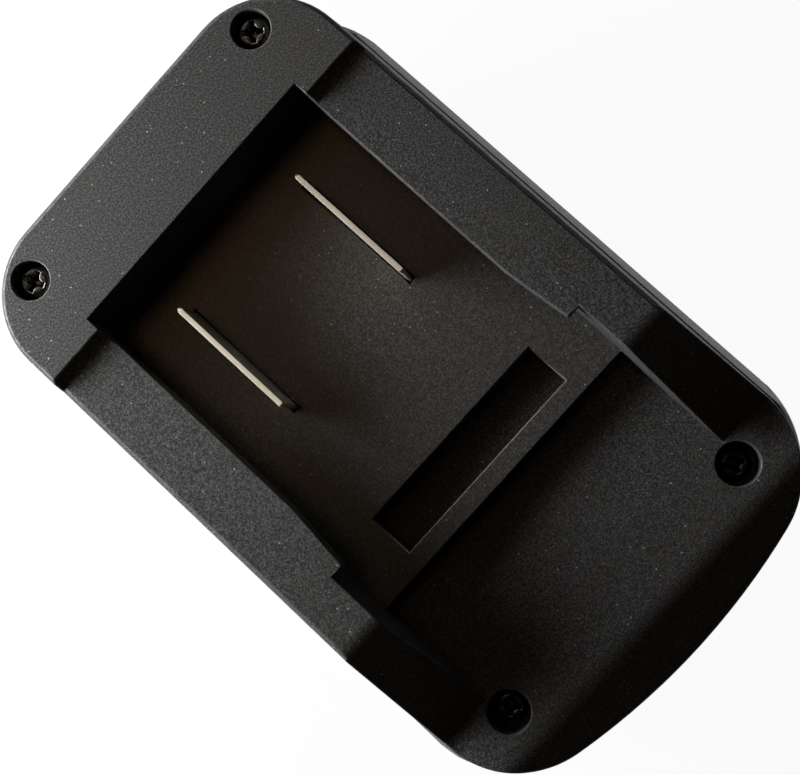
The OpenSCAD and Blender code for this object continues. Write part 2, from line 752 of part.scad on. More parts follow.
// flat stamped blade with a foot under the floor and a solder tail
module blade() {
    half = blade_l / 2;
    foot = half + blade_shoulder;
    tail = blade_tail_l / 2;
    thin = blade_t / 2;
    intersection() {
        translate([-thin, 0, 0])
            rotate([90, 0, 90])
                linear_extrude(blade_t)
                    polygon([[-half, floor_under_z], [-half, blade_top_z - blade_bevel],
                        [-half + blade_bevel, blade_top_z], [half - blade_bevel, blade_top_z],
                        [half, blade_top_z - blade_bevel], [half, floor_under_z],
                        [foot, floor_under_z], [foot, retainer_top_z], [tail, retainer_top_z],
                        [tail, tail_end_z], [-tail, tail_end_z], [-tail, retainer_top_z],
                        [-foot, retainer_top_z], [-foot, floor_under_z]]);
        union() {
            translate([0, 0, floor_under_z])
                linear_extrude(blade_top_z)
                    polygon([[-thin, half - blade_bevel], [-thin / 3, half], [thin / 3, half],
                        [thin, half - blade_bevel], [thin, -half + blade_bevel], [thin / 3, -half],
                        [-thin / 3, -half], [-thin, -half + blade_bevel]]);
            translate([-thin, -foot, 0])
                cube([blade_t, 2 * foot, floor_under_z]);
        }
    }
}

module blade_positive() {
    color([0.84, 0.81, 0.74])
        translate([blade_x, blade_mid_y, 0])
            blade();
}

module blade_negative() {
    color([0.84, 0.81, 0.74])
        translate([-blade_x, blade_mid_y, 0])
            blade();
}

// plate screwed up against the blades' feet
module blade_retainer() {
    slit_w = blade_t + 2 * seat_gap;
    slit_l = blade_tail_l + 2 * seat_gap;
    corner = 3;
    color([0.28, 0.28, 0.3])
        difference() {
            translate([0, blade_mid_y, retainer_z])
                linear_extrude(retainer_t)
                    polygon([[-retainer_w / 2, corner - retainer_l / 2],
                        [corner - retainer_w / 2, -retainer_l / 2],
                        [retainer_w / 2 - corner, -retainer_l / 2],
                        [retainer_w / 2, corner - retainer_l / 2],
                        [retainer_w / 2, retainer_l / 2 - corner],
                        [retainer_w / 2 - corner, retainer_l / 2],
                        [corner - retainer_w / 2, retainer_l / 2],
                        [-retainer_w / 2, retainer_l / 2 - corner]]);
            for (sx = [-1, 1]) {
                translate([sx * blade_x - slit_w / 2, blade_mid_y - slit_l / 2, retainer_z - over])
                    cube([slit_w, slit_l, retainer_t + 2 * over]);
                translate([sx * retainer_screw_span / 2, blade_mid_y, retainer_z - over])
                    cylinder(h = retainer_t + 2 * over, r = small_screw_r + pass_gap);
            }
        }
}

module retainer_screws() {
    color([0.6, 0.6, 0.62])
        for (sx = [-1, 1])
            translate([sx * retainer_screw_span / 2, blade_mid_y, retainer_z])
                rotate([180, 0, 0])
                    screw(small_screw_r, retainer_t + retainer_bite - tip_spare, small_head_r, small_head_h);
}

// carrier that drops into the rail head and holds the clips
module contact_block() {
    chamber_w = clip_gap + 2 * clip_t + 2 * seat_gap;
    width = head_in_w - 2 * seat_gap;
    web_z = block_post_z + block_web_t;
    color([0.3, 0.28, 0.26])
        difference() {
            translate([-width / 2, block_front_y, head_wall])
                cube([width, block_l, block_h]);
            for (sx = [-1, 1]) {
                translate([sx * contact_x - chamber_w / 2, clip_back_y - seat_gap, head_wall - over])
                    cube([chamber_w, block_l, clip_z + clip_h + seat_gap - head_wall + over]);
                translate([sx * contact_x - chamber_w / 2, clip_back_y - seat_gap, head_wall])
                    cube([chamber_w, clip_t + 2 * seat_gap, block_h + over]);
            }
            for (y = block_screw_ys) {
                translate([0, y, head_wall - over])
                    cylinder(h = block_post_z + rest_gap - head_wall + over, r = block_post_r + seat_gap);
                translate([0, y, head_wall])
                    cylinder(h = block_h + over, r = small_screw_r + pass_gap);
                translate([0, y, web_z])
                    cylinder(h = block_h, r = small_head_r + seat_gap);
            }
        }
}

module contact_block_screws() {
    color([0.6, 0.6, 0.62])
        for (y = block_screw_ys)
            translate([0, y, block_post_z + block_web_t])
                screw(small_screw_r, block_screw_l, small_head_r, small_head_h);
}

// sprung clip: two leaves that pinch the tool's blade, and a solder tail
module contact_clip() {
    root = clip_gap / 2;
    pinch = clip_pinch / 2;
    run = head_in_rear_y - seat_gap - clip_back_y - clip_t;
    bend_y = 0.4 * run;
    pinch_y = 0.78 * run;
    translate([0, clip_back_y, 0]) {
        for (sx = [0, 1])
            mirror([sx, 0, 0])
                translate([0, 0, clip_z])
                    linear_extrude(clip_h)
                        polygon([[root, 0], [root, bend_y], [pinch, pinch_y], [root, run],
                            [root + clip_t, run], [pinch + clip_t, pinch_y],
                            [root + clip_t, bend_y], [root + clip_t, 0]]);
        translate([-root - clip_t, 0, clip_z])
            cube([2 * (root + clip_t), clip_t, clip_tail_top_z - clip_z]);
    }
}

module contact_clip_positive() {
    color([0.78, 0.62, 0.36])
        translate([contact_x, 0, 0])
            contact_clip();
}

module contact_clip_negative() {
    color([0.78, 0.62, 0.36])
        translate([-contact_x, 0, 0])
            contact_clip();
}

// insulated wire with two bends, bare at both ends, from a blade's tail to a clip's tail
module lead() {
    bend_side = lead_bend_r * (1 - cos(lead_slant));
    bend_drop = lead_bend_r * sin(lead_slant);
    slant_l = (lead_side - 2 * bend_side) / sin(lead_slant);
    straight = (lead_drop - 2 * bend_drop - slant_l * cos(lead_slant)) / 2;
    first_bend = [for (i = [0:lead_steps]) let (a = lead_slant * i / lead_steps)
        [lead_bend_r * (1 - cos(a)), -straight - lead_bend_r * sin(a), a, lead_r]];
    second_bend = [for (i = [lead_steps:-1:0]) let (a = lead_slant * i / lead_steps)
        [lead_side - lead_bend_r * (1 - cos(a)), straight - lead_drop + lead_bend_r * sin(a), a, lead_r]];
    route = concat([[0, lead_strip, 0, lead_core_r], [0, 0, 0, lead_core_r], [0, 0, 0, lead_r]],
        first_bend, second_bend,
        [[lead_side, -lead_drop, 0, lead_r], [lead_side, -lead_drop, 0, lead_core_r],
        [lead_side, -lead_drop - lead_strip, 0, lead_core_r]]);
    points = [for (ring = route) for (k = [0:lead_sides - 1])
        let (b = 360 * k / lead_sides, u = ring[3] * cos(b))
            [ring[0] + u * cos(ring[2]), ring[3] * sin(b), ring[1] + u * sin(ring[2])]];
    translate([lead_top[0], lead_top[1], lead_top[2] - lead_strip])
        rotate([0, 0, lead_turn])
            polyhedron(points = points, faces = tube_faces(len(route) - 1, lead_sides), convexity = 6);
}

module lead_positive() {
    color([0.7, 0.08, 0.06])
        lead();
}

module lead_negative() {
    color([0.1, 0.1, 0.1])
        mirror([1, 0, 0])
            lead();
}

// hook, arm, guide plate and thumb pad moulded in one
module latch_slider() {
    hook_tip_z = head_h - hook_reach;
    hook_flat = 1.8;
    scoop_r = 9;
    scoop_depth = 1.6;
    scoop_z = thumb_z + 0.4 * thumb_h;
    pad_y = front_y + thumb_recess + housing_draft;
    color([0.2, 0.2, 0.21]) {
        translate([-hook_w / 2, 0, 0])
            rotate([90, 0, 90])
                linear_extrude(hook_w)
                    polygon([[hook_front_y, arm_top_z], [hook_front_y, hook_tip_z],
                        [hook_front_y + hook_flat, hook_tip_z], [hook_rear_y, head_h],
                        [hook_rear_y, arm_top_z]]);
        translate([-arm_w / 2, guide_front_y, latch_z])
            cube([arm_w, hook_front_y - guide_front_y, arm_t]);
        translate([-hook_w / 2, hook_front_y, latch_z])
            cube([hook_w, hook_l, arm_t]);
        translate([-guide_w / 2, guide_front_y, latch_z])
            cube([guide_w, guide_t, guide_h - rest_gap]);
        difference() {
            intersection() {
                translate([-thumb_w / 2, front_y, thumb_z])
                    cube([thumb_w, guide_setback + guide_t / 2, thumb_h]);
                translate([0, pad_y + front_arc_r, thumb_z])
                    cylinder(h = thumb_h, r = front_arc_r, $fn = 256);
            }
            translate([-thumb_w / 2 - over, pad_y + scoop_depth - scoop_r, scoop_z])
                rotate([0, 90, 0])
                    cylinder(h = thumb_w + 2 * over, r = scoop_r);
        }
        for (sx = [-1, 1])
            translate([sx * spring_x, spring_y, latch_z])
                cylinder(h = arm_t + spring_spigot_h, r = spring_spigot_r);
    }
}

// coil of round wire from one seat to the other
module latch_spring() {
    count = spring_turns * spring_rings;
    points = [for (i = [0:count]) let (a = 360 * i / spring_rings, z = spring_z0 + spring_l * i / count)
        for (k = [0:spring_sides - 1])
            let (b = 360 * k / spring_sides, u = spring_r + spring_wire_r * cos(b))
            [u * cos(a), u * sin(a), z + spring_wire_r * sin(b)]];
    echo(spring_gap = spring_l / spring_turns - 2 * spring_wire_r);
    polyhedron(points = points, faces = tube_faces(count, spring_sides), convexity = 10);
}

module latch_spring_left() {
    color([0.7, 0.7, 0.72])
        translate([-spring_x, spring_y, 0])
            latch_spring();
}

module latch_spring_right() {
    color([0.7, 0.7, 0.72])
        translate([spring_x, spring_y, 0])
            latch_spring();
}

battery_cover();
tool_housing();
rear_case_screws();
front_case_screws();
blade_positive();
blade_negative();
blade_retainer();
retainer_screws();
contact_block();
contact_block_screws();
contact_clip_positive();
contact_clip_negative();
lead_positive();
lead_negative();
latch_slider();
latch_spring_left();
latch_spring_right();
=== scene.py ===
"""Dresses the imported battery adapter: rounded mouldings, cross-head screws, blades, leads and springs."""
import itertools
import math
from collections import namedtuple

import bmesh
import bpy
from mathutils import Matrix, Vector
from mathutils.bvhtree import BVHTree


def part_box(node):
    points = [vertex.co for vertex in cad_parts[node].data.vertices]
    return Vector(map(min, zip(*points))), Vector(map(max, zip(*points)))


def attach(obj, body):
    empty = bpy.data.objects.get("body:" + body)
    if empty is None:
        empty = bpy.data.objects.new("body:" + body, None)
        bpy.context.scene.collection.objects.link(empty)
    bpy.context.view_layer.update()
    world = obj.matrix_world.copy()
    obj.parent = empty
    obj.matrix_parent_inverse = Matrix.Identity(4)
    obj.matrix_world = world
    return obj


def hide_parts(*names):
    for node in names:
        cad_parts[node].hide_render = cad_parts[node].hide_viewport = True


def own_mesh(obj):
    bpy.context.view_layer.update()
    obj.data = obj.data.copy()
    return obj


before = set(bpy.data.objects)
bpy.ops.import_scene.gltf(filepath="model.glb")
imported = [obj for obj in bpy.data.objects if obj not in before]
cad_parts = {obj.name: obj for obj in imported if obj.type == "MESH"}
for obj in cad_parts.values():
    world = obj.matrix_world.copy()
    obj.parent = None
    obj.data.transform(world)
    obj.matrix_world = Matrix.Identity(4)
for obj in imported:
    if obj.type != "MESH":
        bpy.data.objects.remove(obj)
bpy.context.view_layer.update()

MM = 0.001
HOUSE = "adapter"
LATCH = "latch"
POLES = ("positive", "negative")
WHITE = (1.0, 1.0, 1.0, 1.0)

# camera, read from the photograph's own perspective
LENS_MM = 61.155
SENSOR_MM = 36
CLIP_START = 10 * MM
CAMERA_AT = Vector((11.0, -25.78, 246.7)) * MM
CAMERA_RIGHT = Vector((0.6683, -0.73236, -0.13044))
CAMERA_UP = Vector((0.74195, 0.66889, 0.04586))
CAMERA_BACK = Vector((0.05367, -0.12743, 0.99039))

# studio light: a low soft box behind the rear cap, a dim warm one overhead and a faint surround
KEY_AT = Vector((-120, 150, 108)) * MM
KEY_SIZE = (160 * MM, 68 * MM)
KEY_POWER = 0.86
KEY_COLOUR = (1.0, 1.0, 1.0)
TOP_AT = Vector((-35, 220, 700)) * MM
TOP_SIZE = (222 * MM, 222 * MM)
TOP_POWER = 0.14
TOP_COLOUR = (1.0, 0.6, 0.3)
LAMPS_AIM = Vector((0, 0, 50)) * MM
SURROUND = 0.004

# white paper: its place and finish, its glow from near to far, and how far forward gloss mirrors it
PAPER_SIZE = 6.0
PAPER_DROP = 0.1 * MM
PAPER_TONE = 0.9
PAPER_ROUGH = 0.9
PAPER_GLOW = 0.95
PAPER_NEAR = 200 * MM
PAPER_FAR = 900 * MM
FLAG_NEAR = -170 * MM
FLAG_FAR = -270 * MM
MIRROR_FROM = 0.35
MIRROR_FULL = 0.75

# edge radii of the mouldings and stampings, and the steps that round them
COVER_EDGE = 0.25 * MM
HOUSING_EDGE = 0.24 * MM
LATCH_EDGE = 0.35 * MM
BLADE_EDGE = 0.09 * MM
MOULDING_STEPS = 3
BLADE_STEPS = 2
ROUND = 0.5
QUAD_SIDES = 4

# limits for joining, rounding and shading a CAD mesh
CAD_MERGE = 1e-7
WHOLE_FACE_DEG = 0.2
FLAT_DEG = 0.05
SLIVER = 0.0055 * MM
SHARP_DEG = 26
SMOOTH_DEG = 32
FLAT_WEIGHT = 100
LOOK_LIFT = 0.05 * MM
LOOK_RISE = 0.2

# the layer of the rounded edges' wear and painted highlight, and the material slot that marks them while they
# are made
WEAR_AND_HIGHLIGHT_LAYER = "edge_wear_and_highlight"
WEAR_AND_HIGHLIGHT_SLOT = 1

# the battery pocket in the cover, for its polish and its painted shade, painted darker again down in the
# latch slot
POCKET_HALF = 26.3 * MM
POCKET_REAR = 40.0 * MM
POCKET_STEP = -20.4 * MM
POCKET_FLOOR = 42.8 * MM
POCKET_RISE = 8 * MM
POCKET_FADE = 1 * MM
SLOT_SINK = 3 * MM
POCKET_POLISH = 0.7
POLISH_ROUGH = 0.34


# Handling pieces

def only(piece):
    """Selects one piece and makes it the active one."""
    bpy.ops.object.select_all(action="DESELECT")
    piece.select_set(True)
    bpy.context.view_layer.objects.active = piece


def open_edges(piece):
    """Selects one piece and opens it in edit mode, with its edges to pick."""
    only(piece)
    bpy.ops.object.mode_set(mode="EDIT")
    bpy.ops.mesh.select_mode(type="EDGE")


def merge_points(distance):
    """Merges the points of the piece in edit mode that lie within a distance of each other."""
    bpy.ops.mesh.select_all(action="SELECT")
    bpy.ops.mesh.remove_doubles(threshold=distance)


def select_open_ends():
    """Selects the open rims of the piece in edit mode."""
    bpy.ops.mesh.select_all(action="DESELECT")
    bpy.ops.mesh.select_non_manifold()


def turn_outwards():
    """Turns every face of the piece in edit mode outwards, and leaves edit mode."""
    bpy.ops.mesh.select_all(action="SELECT")
    bpy.ops.mesh.normals_make_consistent(inside=False)
    bpy.ops.object.mode_set(mode="OBJECT")


def add_to_scene(name, data):
    """Adds an object made from its data."""
    piece = bpy.data.objects.new(name, data)
    bpy.context.scene.collection.objects.link(piece)
    return piece


def settle(piece):
    """Puts a piece's place and turn into its mesh, so that its object sits at the origin."""
    only(piece)
    bpy.ops.object.transform_apply(location=True, rotation=True, scale=True)


def join(pieces, name):
    """Joins pieces into the first one."""
    only(pieces[0])
    for piece in pieces[1:]:
        piece.select_set(True)
    bpy.ops.object.join()
    pieces[0].name = name
    pieces[0].data.name = name
    return pieces[0]


def smooth(piece, degrees):
    """Smooth shading across all edges flatter than an angle."""
    only(piece)
    bpy.ops.object.shade_smooth_by_angle(angle=math.radians(degrees))


def smooth_round_flats(piece, degrees=SMOOTH_DEG):
    """Smooth shading that leaves the large flat faces flat."""
    smooth(piece, degrees)
    weighted = piece.modifiers.new("flat_faces_stay_flat", "WEIGHTED_NORMAL")
    weighted.keep_sharp = True
    weighted.weight = FLAT_WEIGHT
    bpy.ops.object.modifier_apply(modifier=weighted.name)


def paint(piece, material):
    """Gives a piece one material."""
    piece.data.materials.clear()
    piece.data.materials.append(material)


def dress(piece, body, node):
    """Ties a finished piece to its body and hides the CAD node that it stands for."""
    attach(piece, body)
    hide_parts(node)


# Shader nodes

def rgba(red, green, blue):
    """A colour for a socket."""
    return (red, green, blue, 1.0)


def grey(tone):
    """A neutral colour for a socket."""
    return rgba(tone, tone, tone)


def feed(tree, socket, value):
    """Links another socket to a socket, or sets it to a plain value."""
    if isinstance(value, bpy.types.NodeSocket):
        tree.links.new(value, socket)
    else:
        socket.default_value = value


def in_millimetres(tree, vector):
    """A place in millimetres."""
    scale = tree.nodes.new("ShaderNodeVectorMath")
    scale.operation = "SCALE"
    scale.inputs["Scale"].default_value = 1 / MM
    tree.links.new(vector, scale.inputs[0])
    return scale.outputs[0]


def split_axes(tree, vector):
    """The three parts of a place, by the names X, Y and Z."""
    axes = tree.nodes.new("ShaderNodeSeparateXYZ")
    tree.links.new(vector, axes.inputs["Vector"])
    return axes.outputs


def noise(tree, vector, per_mm, detail=2.0, rough=0.5):
    """Noise whose scale is a number or a socket, in features per millimetre."""
    node = tree.nodes.new("ShaderNodeTexNoise")
    node.inputs["Detail"].default_value = detail
    node.inputs["Roughness"].default_value = rough
    tree.links.new(vector, node.inputs["Vector"])
    feed(tree, node.inputs["Scale"], per_mm)
    return node.outputs["Fac"]


def maths(tree, operation, *values):
    """One sum with numbers or sockets."""
    node = tree.nodes.new("ShaderNodeMath")
    node.operation = operation
    for socket, value in zip(node.inputs, values):
        feed(tree, socket, value)
    return node.outputs[0]


def spread(tree, value, low, high, to_low=0.0, to_high=1.0):
    """Maps a value from one range to another, and holds it there."""
    node = tree.nodes.new("ShaderNodeMapRange")
    node.clamp = True
    limits = {"From Min": low, "From Max": high, "To Min": to_low, "To Max": to_high}
    for label, number in limits.items():
        node.inputs[label].default_value = number
    tree.links.new(value, node.inputs["Value"])
    return node.outputs["Result"]


def fade(tree, value, low, high):
    """One below a range, nothing above it."""
    return spread(tree, value, low, high, 1.0, 0.0)


def mix_colour(tree, factor, first, second, blend="MIX"):
    """Blend of two colours, each a socket or a plain colour."""
    node = tree.nodes.new("ShaderNodeMix")
    node.data_type = "RGBA"
    node.blend_type = blend
    tree.links.new(factor, node.inputs["Factor"])
    colours = [socket for socket in node.inputs if socket.type == "RGBA"]
    for socket, value in zip(colours, (first, second)):
        feed(tree, socket, value)
    return next(socket for socket in node.outputs if socket.type == "RGBA")


def mix_shaders(tree, factor, first, second):
    """Blend of two shaders."""
    node = tree.nodes.new("ShaderNodeMixShader")
    for socket, value in zip(node.inputs, (factor, first, second)):
        tree.links.new(value, socket)
    return node.outputs["Shader"]


# Shader groups

# spark-eroded texture: the lumps against the pits, and the flecks, a grain tone painted as shade in the pits
# and glints on the lumps
LUMP_GRAIN = 0.35
LUMP_DEPTH = 0.7
FLECK_RANGE = (0.38, 0.68)
FLECK_POWER = 1.4

# slow patches of warmer tone
PATCH_RANGE = (0.42, 0.75)
PATCH_WARMTH = 0.3

# size of a speck in its cell, and the share of cells that have one; the specks are dust and fibre ends,
# painted bright as glints
SPECK_REACH = (0.07, 0.13)
SPECK_PICK = (0.55, 0.95)

# noise that breaks up the edges' wear and painted highlight, and lines of a drawn metal
EDGE_BREAKUP_PER_MM = 0.5
EDGE_BREAKUP_RANGE = (0.3, 0.65)
LINE_RANGE = (0.3, 0.7)


def new_group(name, inputs, outputs):
    """An empty group with its named inputs and outputs."""
    tree = bpy.data.node_groups.new(name, "ShaderNodeTree")
    for label, kind, value in inputs:
        socket = tree.interface.new_socket(label, in_out="INPUT", socket_type=kind)
        if value is not None:
            socket.default_value = value
    for label, kind in outputs:
        tree.interface.new_socket(label, in_out="OUTPUT", socket_type=kind)
    return tree, tree.nodes.new("NodeGroupInput"), tree.nodes.new("NodeGroupOutput")


def build_eroded_skin():
    """Spark-eroded mould texture: fine pits over soft lumps."""
    tree, given, result = new_group("eroded_skin", [
        ("Vector", "NodeSocketVector", None), ("Grain per mm", "NodeSocketFloat", 3.0)],
        [("Height", "NodeSocketFloat"), ("Fleck", "NodeSocketFloat")])
    place = in_millimetres(tree, given.outputs["Vector"])
    grain = given.outputs["Grain per mm"]
    fine = noise(tree, place, grain, detail=3.0, rough=0.65)
    lumps = noise(tree, place, maths(tree, "MULTIPLY", grain, LUMP_GRAIN), detail=1.0)
    height = maths(tree, "ADD", fine, maths(tree, "MULTIPLY", lumps, LUMP_DEPTH))
    fleck = maths(tree, "POWER", spread(tree, fine, *FLECK_RANGE), FLECK_POWER)
    tree.links.new(height, result.inputs["Height"])
    tree.links.new(fleck, result.inputs["Fleck"])
    return tree


def build_tone_drift():
    """Slow colour drift over a moulding or a plated sheet, with the fleck of its texture on top, from the
    deep colour to the lit one: grain tone with painted shade and painted glints.
    """
    tree, given, result = new_group("tone_drift", [
        ("Vector", "NodeSocketVector", None), ("Fleck", "NodeSocketFloat", 0.5),
        ("Deep", "NodeSocketColor", grey(0.02)), ("Lit", "NodeSocketColor", grey(0.04)),
        ("Warm", "NodeSocketColor", rgba(0.03, 0.025, 0.02)), ("Patches per mm", "NodeSocketFloat", 0.05)],
        [("Color", "NodeSocketColor")])
    place = in_millimetres(tree, given.outputs["Vector"])
    patches = noise(tree, place, given.outputs["Patches per mm"], detail=3.0)
    # the fleck paints the deep colour as shade and the lit colour as glints
    flecked = mix_colour(tree, given.outputs["Fleck"], given.outputs["Deep"], given.outputs["Lit"])
    warmth = spread(tree, patches, *PATCH_RANGE, 0.0, PATCH_WARMTH)
    tree.links.new(mix_colour(tree, warmth, flecked, given.outputs["Warm"]), result.inputs["Color"])
    return tree


def build_dust_and_glint_specks():
    """Scattered tiny specks: glass fibre ends and dust, painted bright as glints of the light."""
    tree, given, result = new_group("dust_and_glint_specks", [
        ("Vector", "NodeSocketVector", None), ("Specks per mm", "NodeSocketFloat", 0.8)],
        [("Mask", "NodeSocketFloat")])
    cells = tree.nodes.new("ShaderNodeTexVoronoi")
    tree.links.new(in_millimetres(tree, given.outputs["Vector"]), cells.inputs["Vector"])
    tree.links.new(given.outputs["Specks per mm"], cells.inputs["Scale"])
    pick = tree.nodes.new("ShaderNodeSeparateColor")
    tree.links.new(cells.outputs["Color"], pick.inputs["Color"])
    dot = fade(tree, cells.outputs["Distance"], *SPECK_REACH)
    picked = spread(tree, pick.outputs["Red"], *SPECK_PICK)
    tree.links.new(maths(tree, "MULTIPLY", dot, picked), result.inputs["Mask"])
    return tree


def build_edge_wear_and_highlight():
    """Worn edges with a painted highlight: the layer painted on the rounded edges, broken up by noise."""
    tree, given, result = new_group("worn_and_highlit_edges", [
        ("Vector", "NodeSocketVector", None), ("Amount", "NodeSocketFloat", 0.5)],
        [("Mask", "NodeSocketFloat")])
    layer = tree.nodes.new("ShaderNodeAttribute")
    layer.attribute_name = WEAR_AND_HIGHLIGHT_LAYER
    breakup = noise(tree, in_millimetres(tree, given.outputs["Vector"]), EDGE_BREAKUP_PER_MM, detail=4.0)
    worn_and_highlit = maths(tree, "MULTIPLY", layer.outputs["Fac"], spread(tree, breakup, *EDGE_BREAKUP_RANGE))
    tree.links.new(maths(tree, "MULTIPLY", worn_and_highlit, given.outputs["Amount"]), result.inputs["Mask"])
    return tree


def build_drawn_grain():
    """Fine lines left by rolling or drawing a metal."""
    tree, given, result = new_group("drawn_grain", [
        ("Vector", "NodeSocketVector", None), ("Lines per mm", "NodeSocketFloat", 6.0)],
        [("Line", "NodeSocketFloat"), ("Height", "NodeSocketFloat")])
    place = in_millimetres(tree, given.outputs["Vector"])
    lines = noise(tree, place, given.outputs["Lines per mm"], detail=3.0, rough=0.6)
    tree.links.new(spread(tree, lines, *LINE_RANGE), result.inputs["Line"])
    tree.links.new(lines, result.inputs["Height"])
    return tree


ERODED_SKIN = build_eroded_skin()
TONE_DRIFT = build_tone_drift()
DUST_AND_GLINT_SPECKS = build_dust_and_glint_specks()
EDGE_WEAR_AND_HIGHLIGHT = build_edge_wear_and_highlight()
DRAWN_GRAIN = build_drawn_grain()


# Materials

# tarnish of the metals, their edges' wear and painted highlight, and the skin of the wires
TARNISH_PER_MM = 0.3
METAL_WEAR_AND_HIGHLIGHT = 0.7
WIRE_GRAIN = 1.2
WIRE_ROUGH = (0.48, 0.36)
WIRE_DEPTH = 0.008 * MM

# how the drawn lines are stretched on a blade or clip, a screw, a coil and a strand
ALONG_Y = (1.0, 0.06, 1.0)
ALONG_SCREW = (1.0, 1.0, 0.3)
ALONG_COIL = (1.0, 1.0, 0.4)
ALONG_STRAND = (1.0, 1.0, 0.1)


def new_material(name):
    """A material, its nodes, its shader and the place on the piece."""
    material = bpy.data.materials.new(name)
    material.use_nodes = True
    tree = material.node_tree
    shader = next(node for node in tree.nodes if node.type == "BSDF_PRINCIPLED")
    place = tree.nodes.new("ShaderNodeTexCoord").outputs["Object"]
    return material, tree, shader, place


def use_group(tree, group, place, **values):
    """Places a group in a material, with this material's own values."""
    node = tree.nodes.new("ShaderNodeGroup")
    node.node_tree = group
    tree.links.new(place, node.inputs["Vector"])
    for label, value in values.items():
        feed(tree, node.inputs[label.replace("_", " ")], value)
    return node


def raise_surface(tree, shader, height, depth):
    """Relief of a depth on the shader's surface."""
    bump = tree.nodes.new("ShaderNodeBump")
    bump.inputs["Distance"].default_value = depth
    bump.inputs["Strength"].default_value = 1.0
    tree.links.new(height, bump.inputs["Height"])
    tree.links.new(bump.outputs["Normal"], shader.inputs["Normal"])


def pocket_painted_shade_and_polish(tree, place, colour, shade):
    """Painted shade: a darker colour in the pocket, darker again down in the latch slot; and a mask of the
    pocket's polish.
    """
    across, along, up = split_axes(tree, place)
    between = fade(tree, maths(tree, "ABSOLUTE", across), POCKET_HALF, POCKET_HALF + POCKET_FADE)
    ahead = fade(tree, along, POCKET_REAR, POCKET_REAR + POCKET_FADE)
    behind = spread(tree, along, POCKET_STEP - POCKET_FADE, POCKET_STEP)
    inside = maths(tree, "MULTIPLY", between, maths(tree, "MULTIPLY", ahead, behind))
    low = fade(tree, up, POCKET_FLOOR + POCKET_FADE, POCKET_FLOOR + POCKET_RISE)
    sunk = fade(tree, up, POCKET_FLOOR - SLOT_SINK, POCKET_FLOOR - POCKET_FADE)
    pocket = maths(tree, "MULTIPLY", inside, low)
    slot = maths(tree, "MULTIPLY", inside, sunk)
    # painted shade: the pocket's colour is multiplied by the shade colour, and the slot's once more
    shaded = mix_colour(tree, pocket, colour, shade, "MULTIPLY")
    return mix_colour(tree, slot, shaded, shade, "MULTIPLY"), maths(tree, "SUBTRACT", pocket, slot)


def moulded_plastic(name, deep, lit, warm, grain, depth, rough, wear_and_highlight_colour, wear_and_highlight, speck_colour, specks,
                    gloss=0.4, pocket_painted_shade=None):
    """Spark-eroded plastic: flecked tone with painted shade and glints, specks of fibre and dust painted
    bright as glints, edges with wear and a painted highlight, and a pitted surface.
    """
    material, tree, shader, place = new_material(name)
    skin = use_group(tree, ERODED_SKIN, place, Grain_per_mm=grain)
    fleck = skin.outputs["Fleck"]
    tone = use_group(tree, TONE_DRIFT, place, Fleck=fleck, Deep=deep, Lit=lit, Warm=warm)
    speck = use_group(tree, DUST_AND_GLINT_SPECKS, place, Specks_per_mm=specks).outputs["Mask"]
    edge = use_group(tree, EDGE_WEAR_AND_HIGHLIGHT, place, Amount=wear_and_highlight).outputs["Mask"]
    # the specks take the speck colour: dust and fibre ends, painted bright as glints
    colour = mix_colour(tree, speck, tone.outputs["Color"], speck_colour)
    polish = edge
    # the cover's pocket gets painted shade in its colour, and polish in its coat
    if pocket_painted_shade:
        colour, sleek = pocket_painted_shade_and_polish(tree, place, colour, pocket_painted_shade)
        polish = maths(tree, "MAXIMUM", edge, maths(tree, "MULTIPLY", sleek, POCKET_POLISH))
    # the rounded edges take the lighter edge colour: wear and a painted highlight
    tree.links.new(mix_colour(tree, edge, colour, wear_and_highlight_colour), shader.inputs["Base Color"])
    tree.links.new(spread(tree, fleck, 0.0, 1.0, *rough), shader.inputs["Roughness"])
    tree.links.new(polish, shader.inputs["Coat Weight"])
    shader.inputs["Coat Roughness"].default_value = POLISH_ROUGH
    shader.inputs["Specular IOR Level"].default_value = gloss
    raise_surface(tree, shader, skin.outputs["Height"], depth)
    return material


def drawn_metal(name, deep, lit, warm, stretch, lines, rough, depth):
    """Rolled or drawn metal: lines along its length, slow tarnish and brighter edges from wear and a painted
    highlight.
    """
    material, tree, shader, place = new_material(name)
    turn = tree.nodes.new("ShaderNodeMapping")
    turn.inputs["Scale"].default_value = stretch
    tree.links.new(place, turn.inputs["Vector"])
    grain = use_group(tree, DRAWN_GRAIN, turn.outputs["Vector"], Lines_per_mm=lines)
    line = grain.outputs["Line"]
    tone = use_group(tree, TONE_DRIFT, place, Fleck=line, Deep=deep, Lit=lit, Warm=warm,
                     Patches_per_mm=TARNISH_PER_MM)
    edge = use_group(tree, EDGE_WEAR_AND_HIGHLIGHT, place, Amount=METAL_WEAR_AND_HIGHLIGHT).outputs["Mask"]
    # the rounded edges take the lit colour: wear and a painted highlight
    tree.links.new(mix_colour(tree, edge, tone.outputs["Color"], lit), shader.inputs["Base Color"])
    tree.links.new(spread(tree, line, 0.0, 1.0, *rough), shader.inputs["Roughness"])
    shader.inputs["Metallic"].default_value = 1.0
    raise_surface(tree, shader, grain.outputs["Height"], depth)
    return material


def wire_insulation(name, deep, lit):
    """Extruded wire cover: smooth, slightly waxy, with faint scuffs."""
    material, tree, shader, place = new_material(name)
    skin = use_group(tree, ERODED_SKIN, place, Grain_per_mm=WIRE_GRAIN)
    fleck = skin.outputs["Fleck"]
    tone = use_group(tree, TONE_DRIFT, place, Fleck=fleck, Deep=deep, Lit=lit, Warm=deep)
    tree.links.new(tone.outputs["Color"], shader.inputs["Base Color"])
    tree.links.new(spread(tree, fleck, 0.0, 1.0, *WIRE_ROUGH), shader.inputs["Roughness"])
    raise_surface(tree, shader, skin.outputs["Height"], WIRE_DEPTH)
    return material


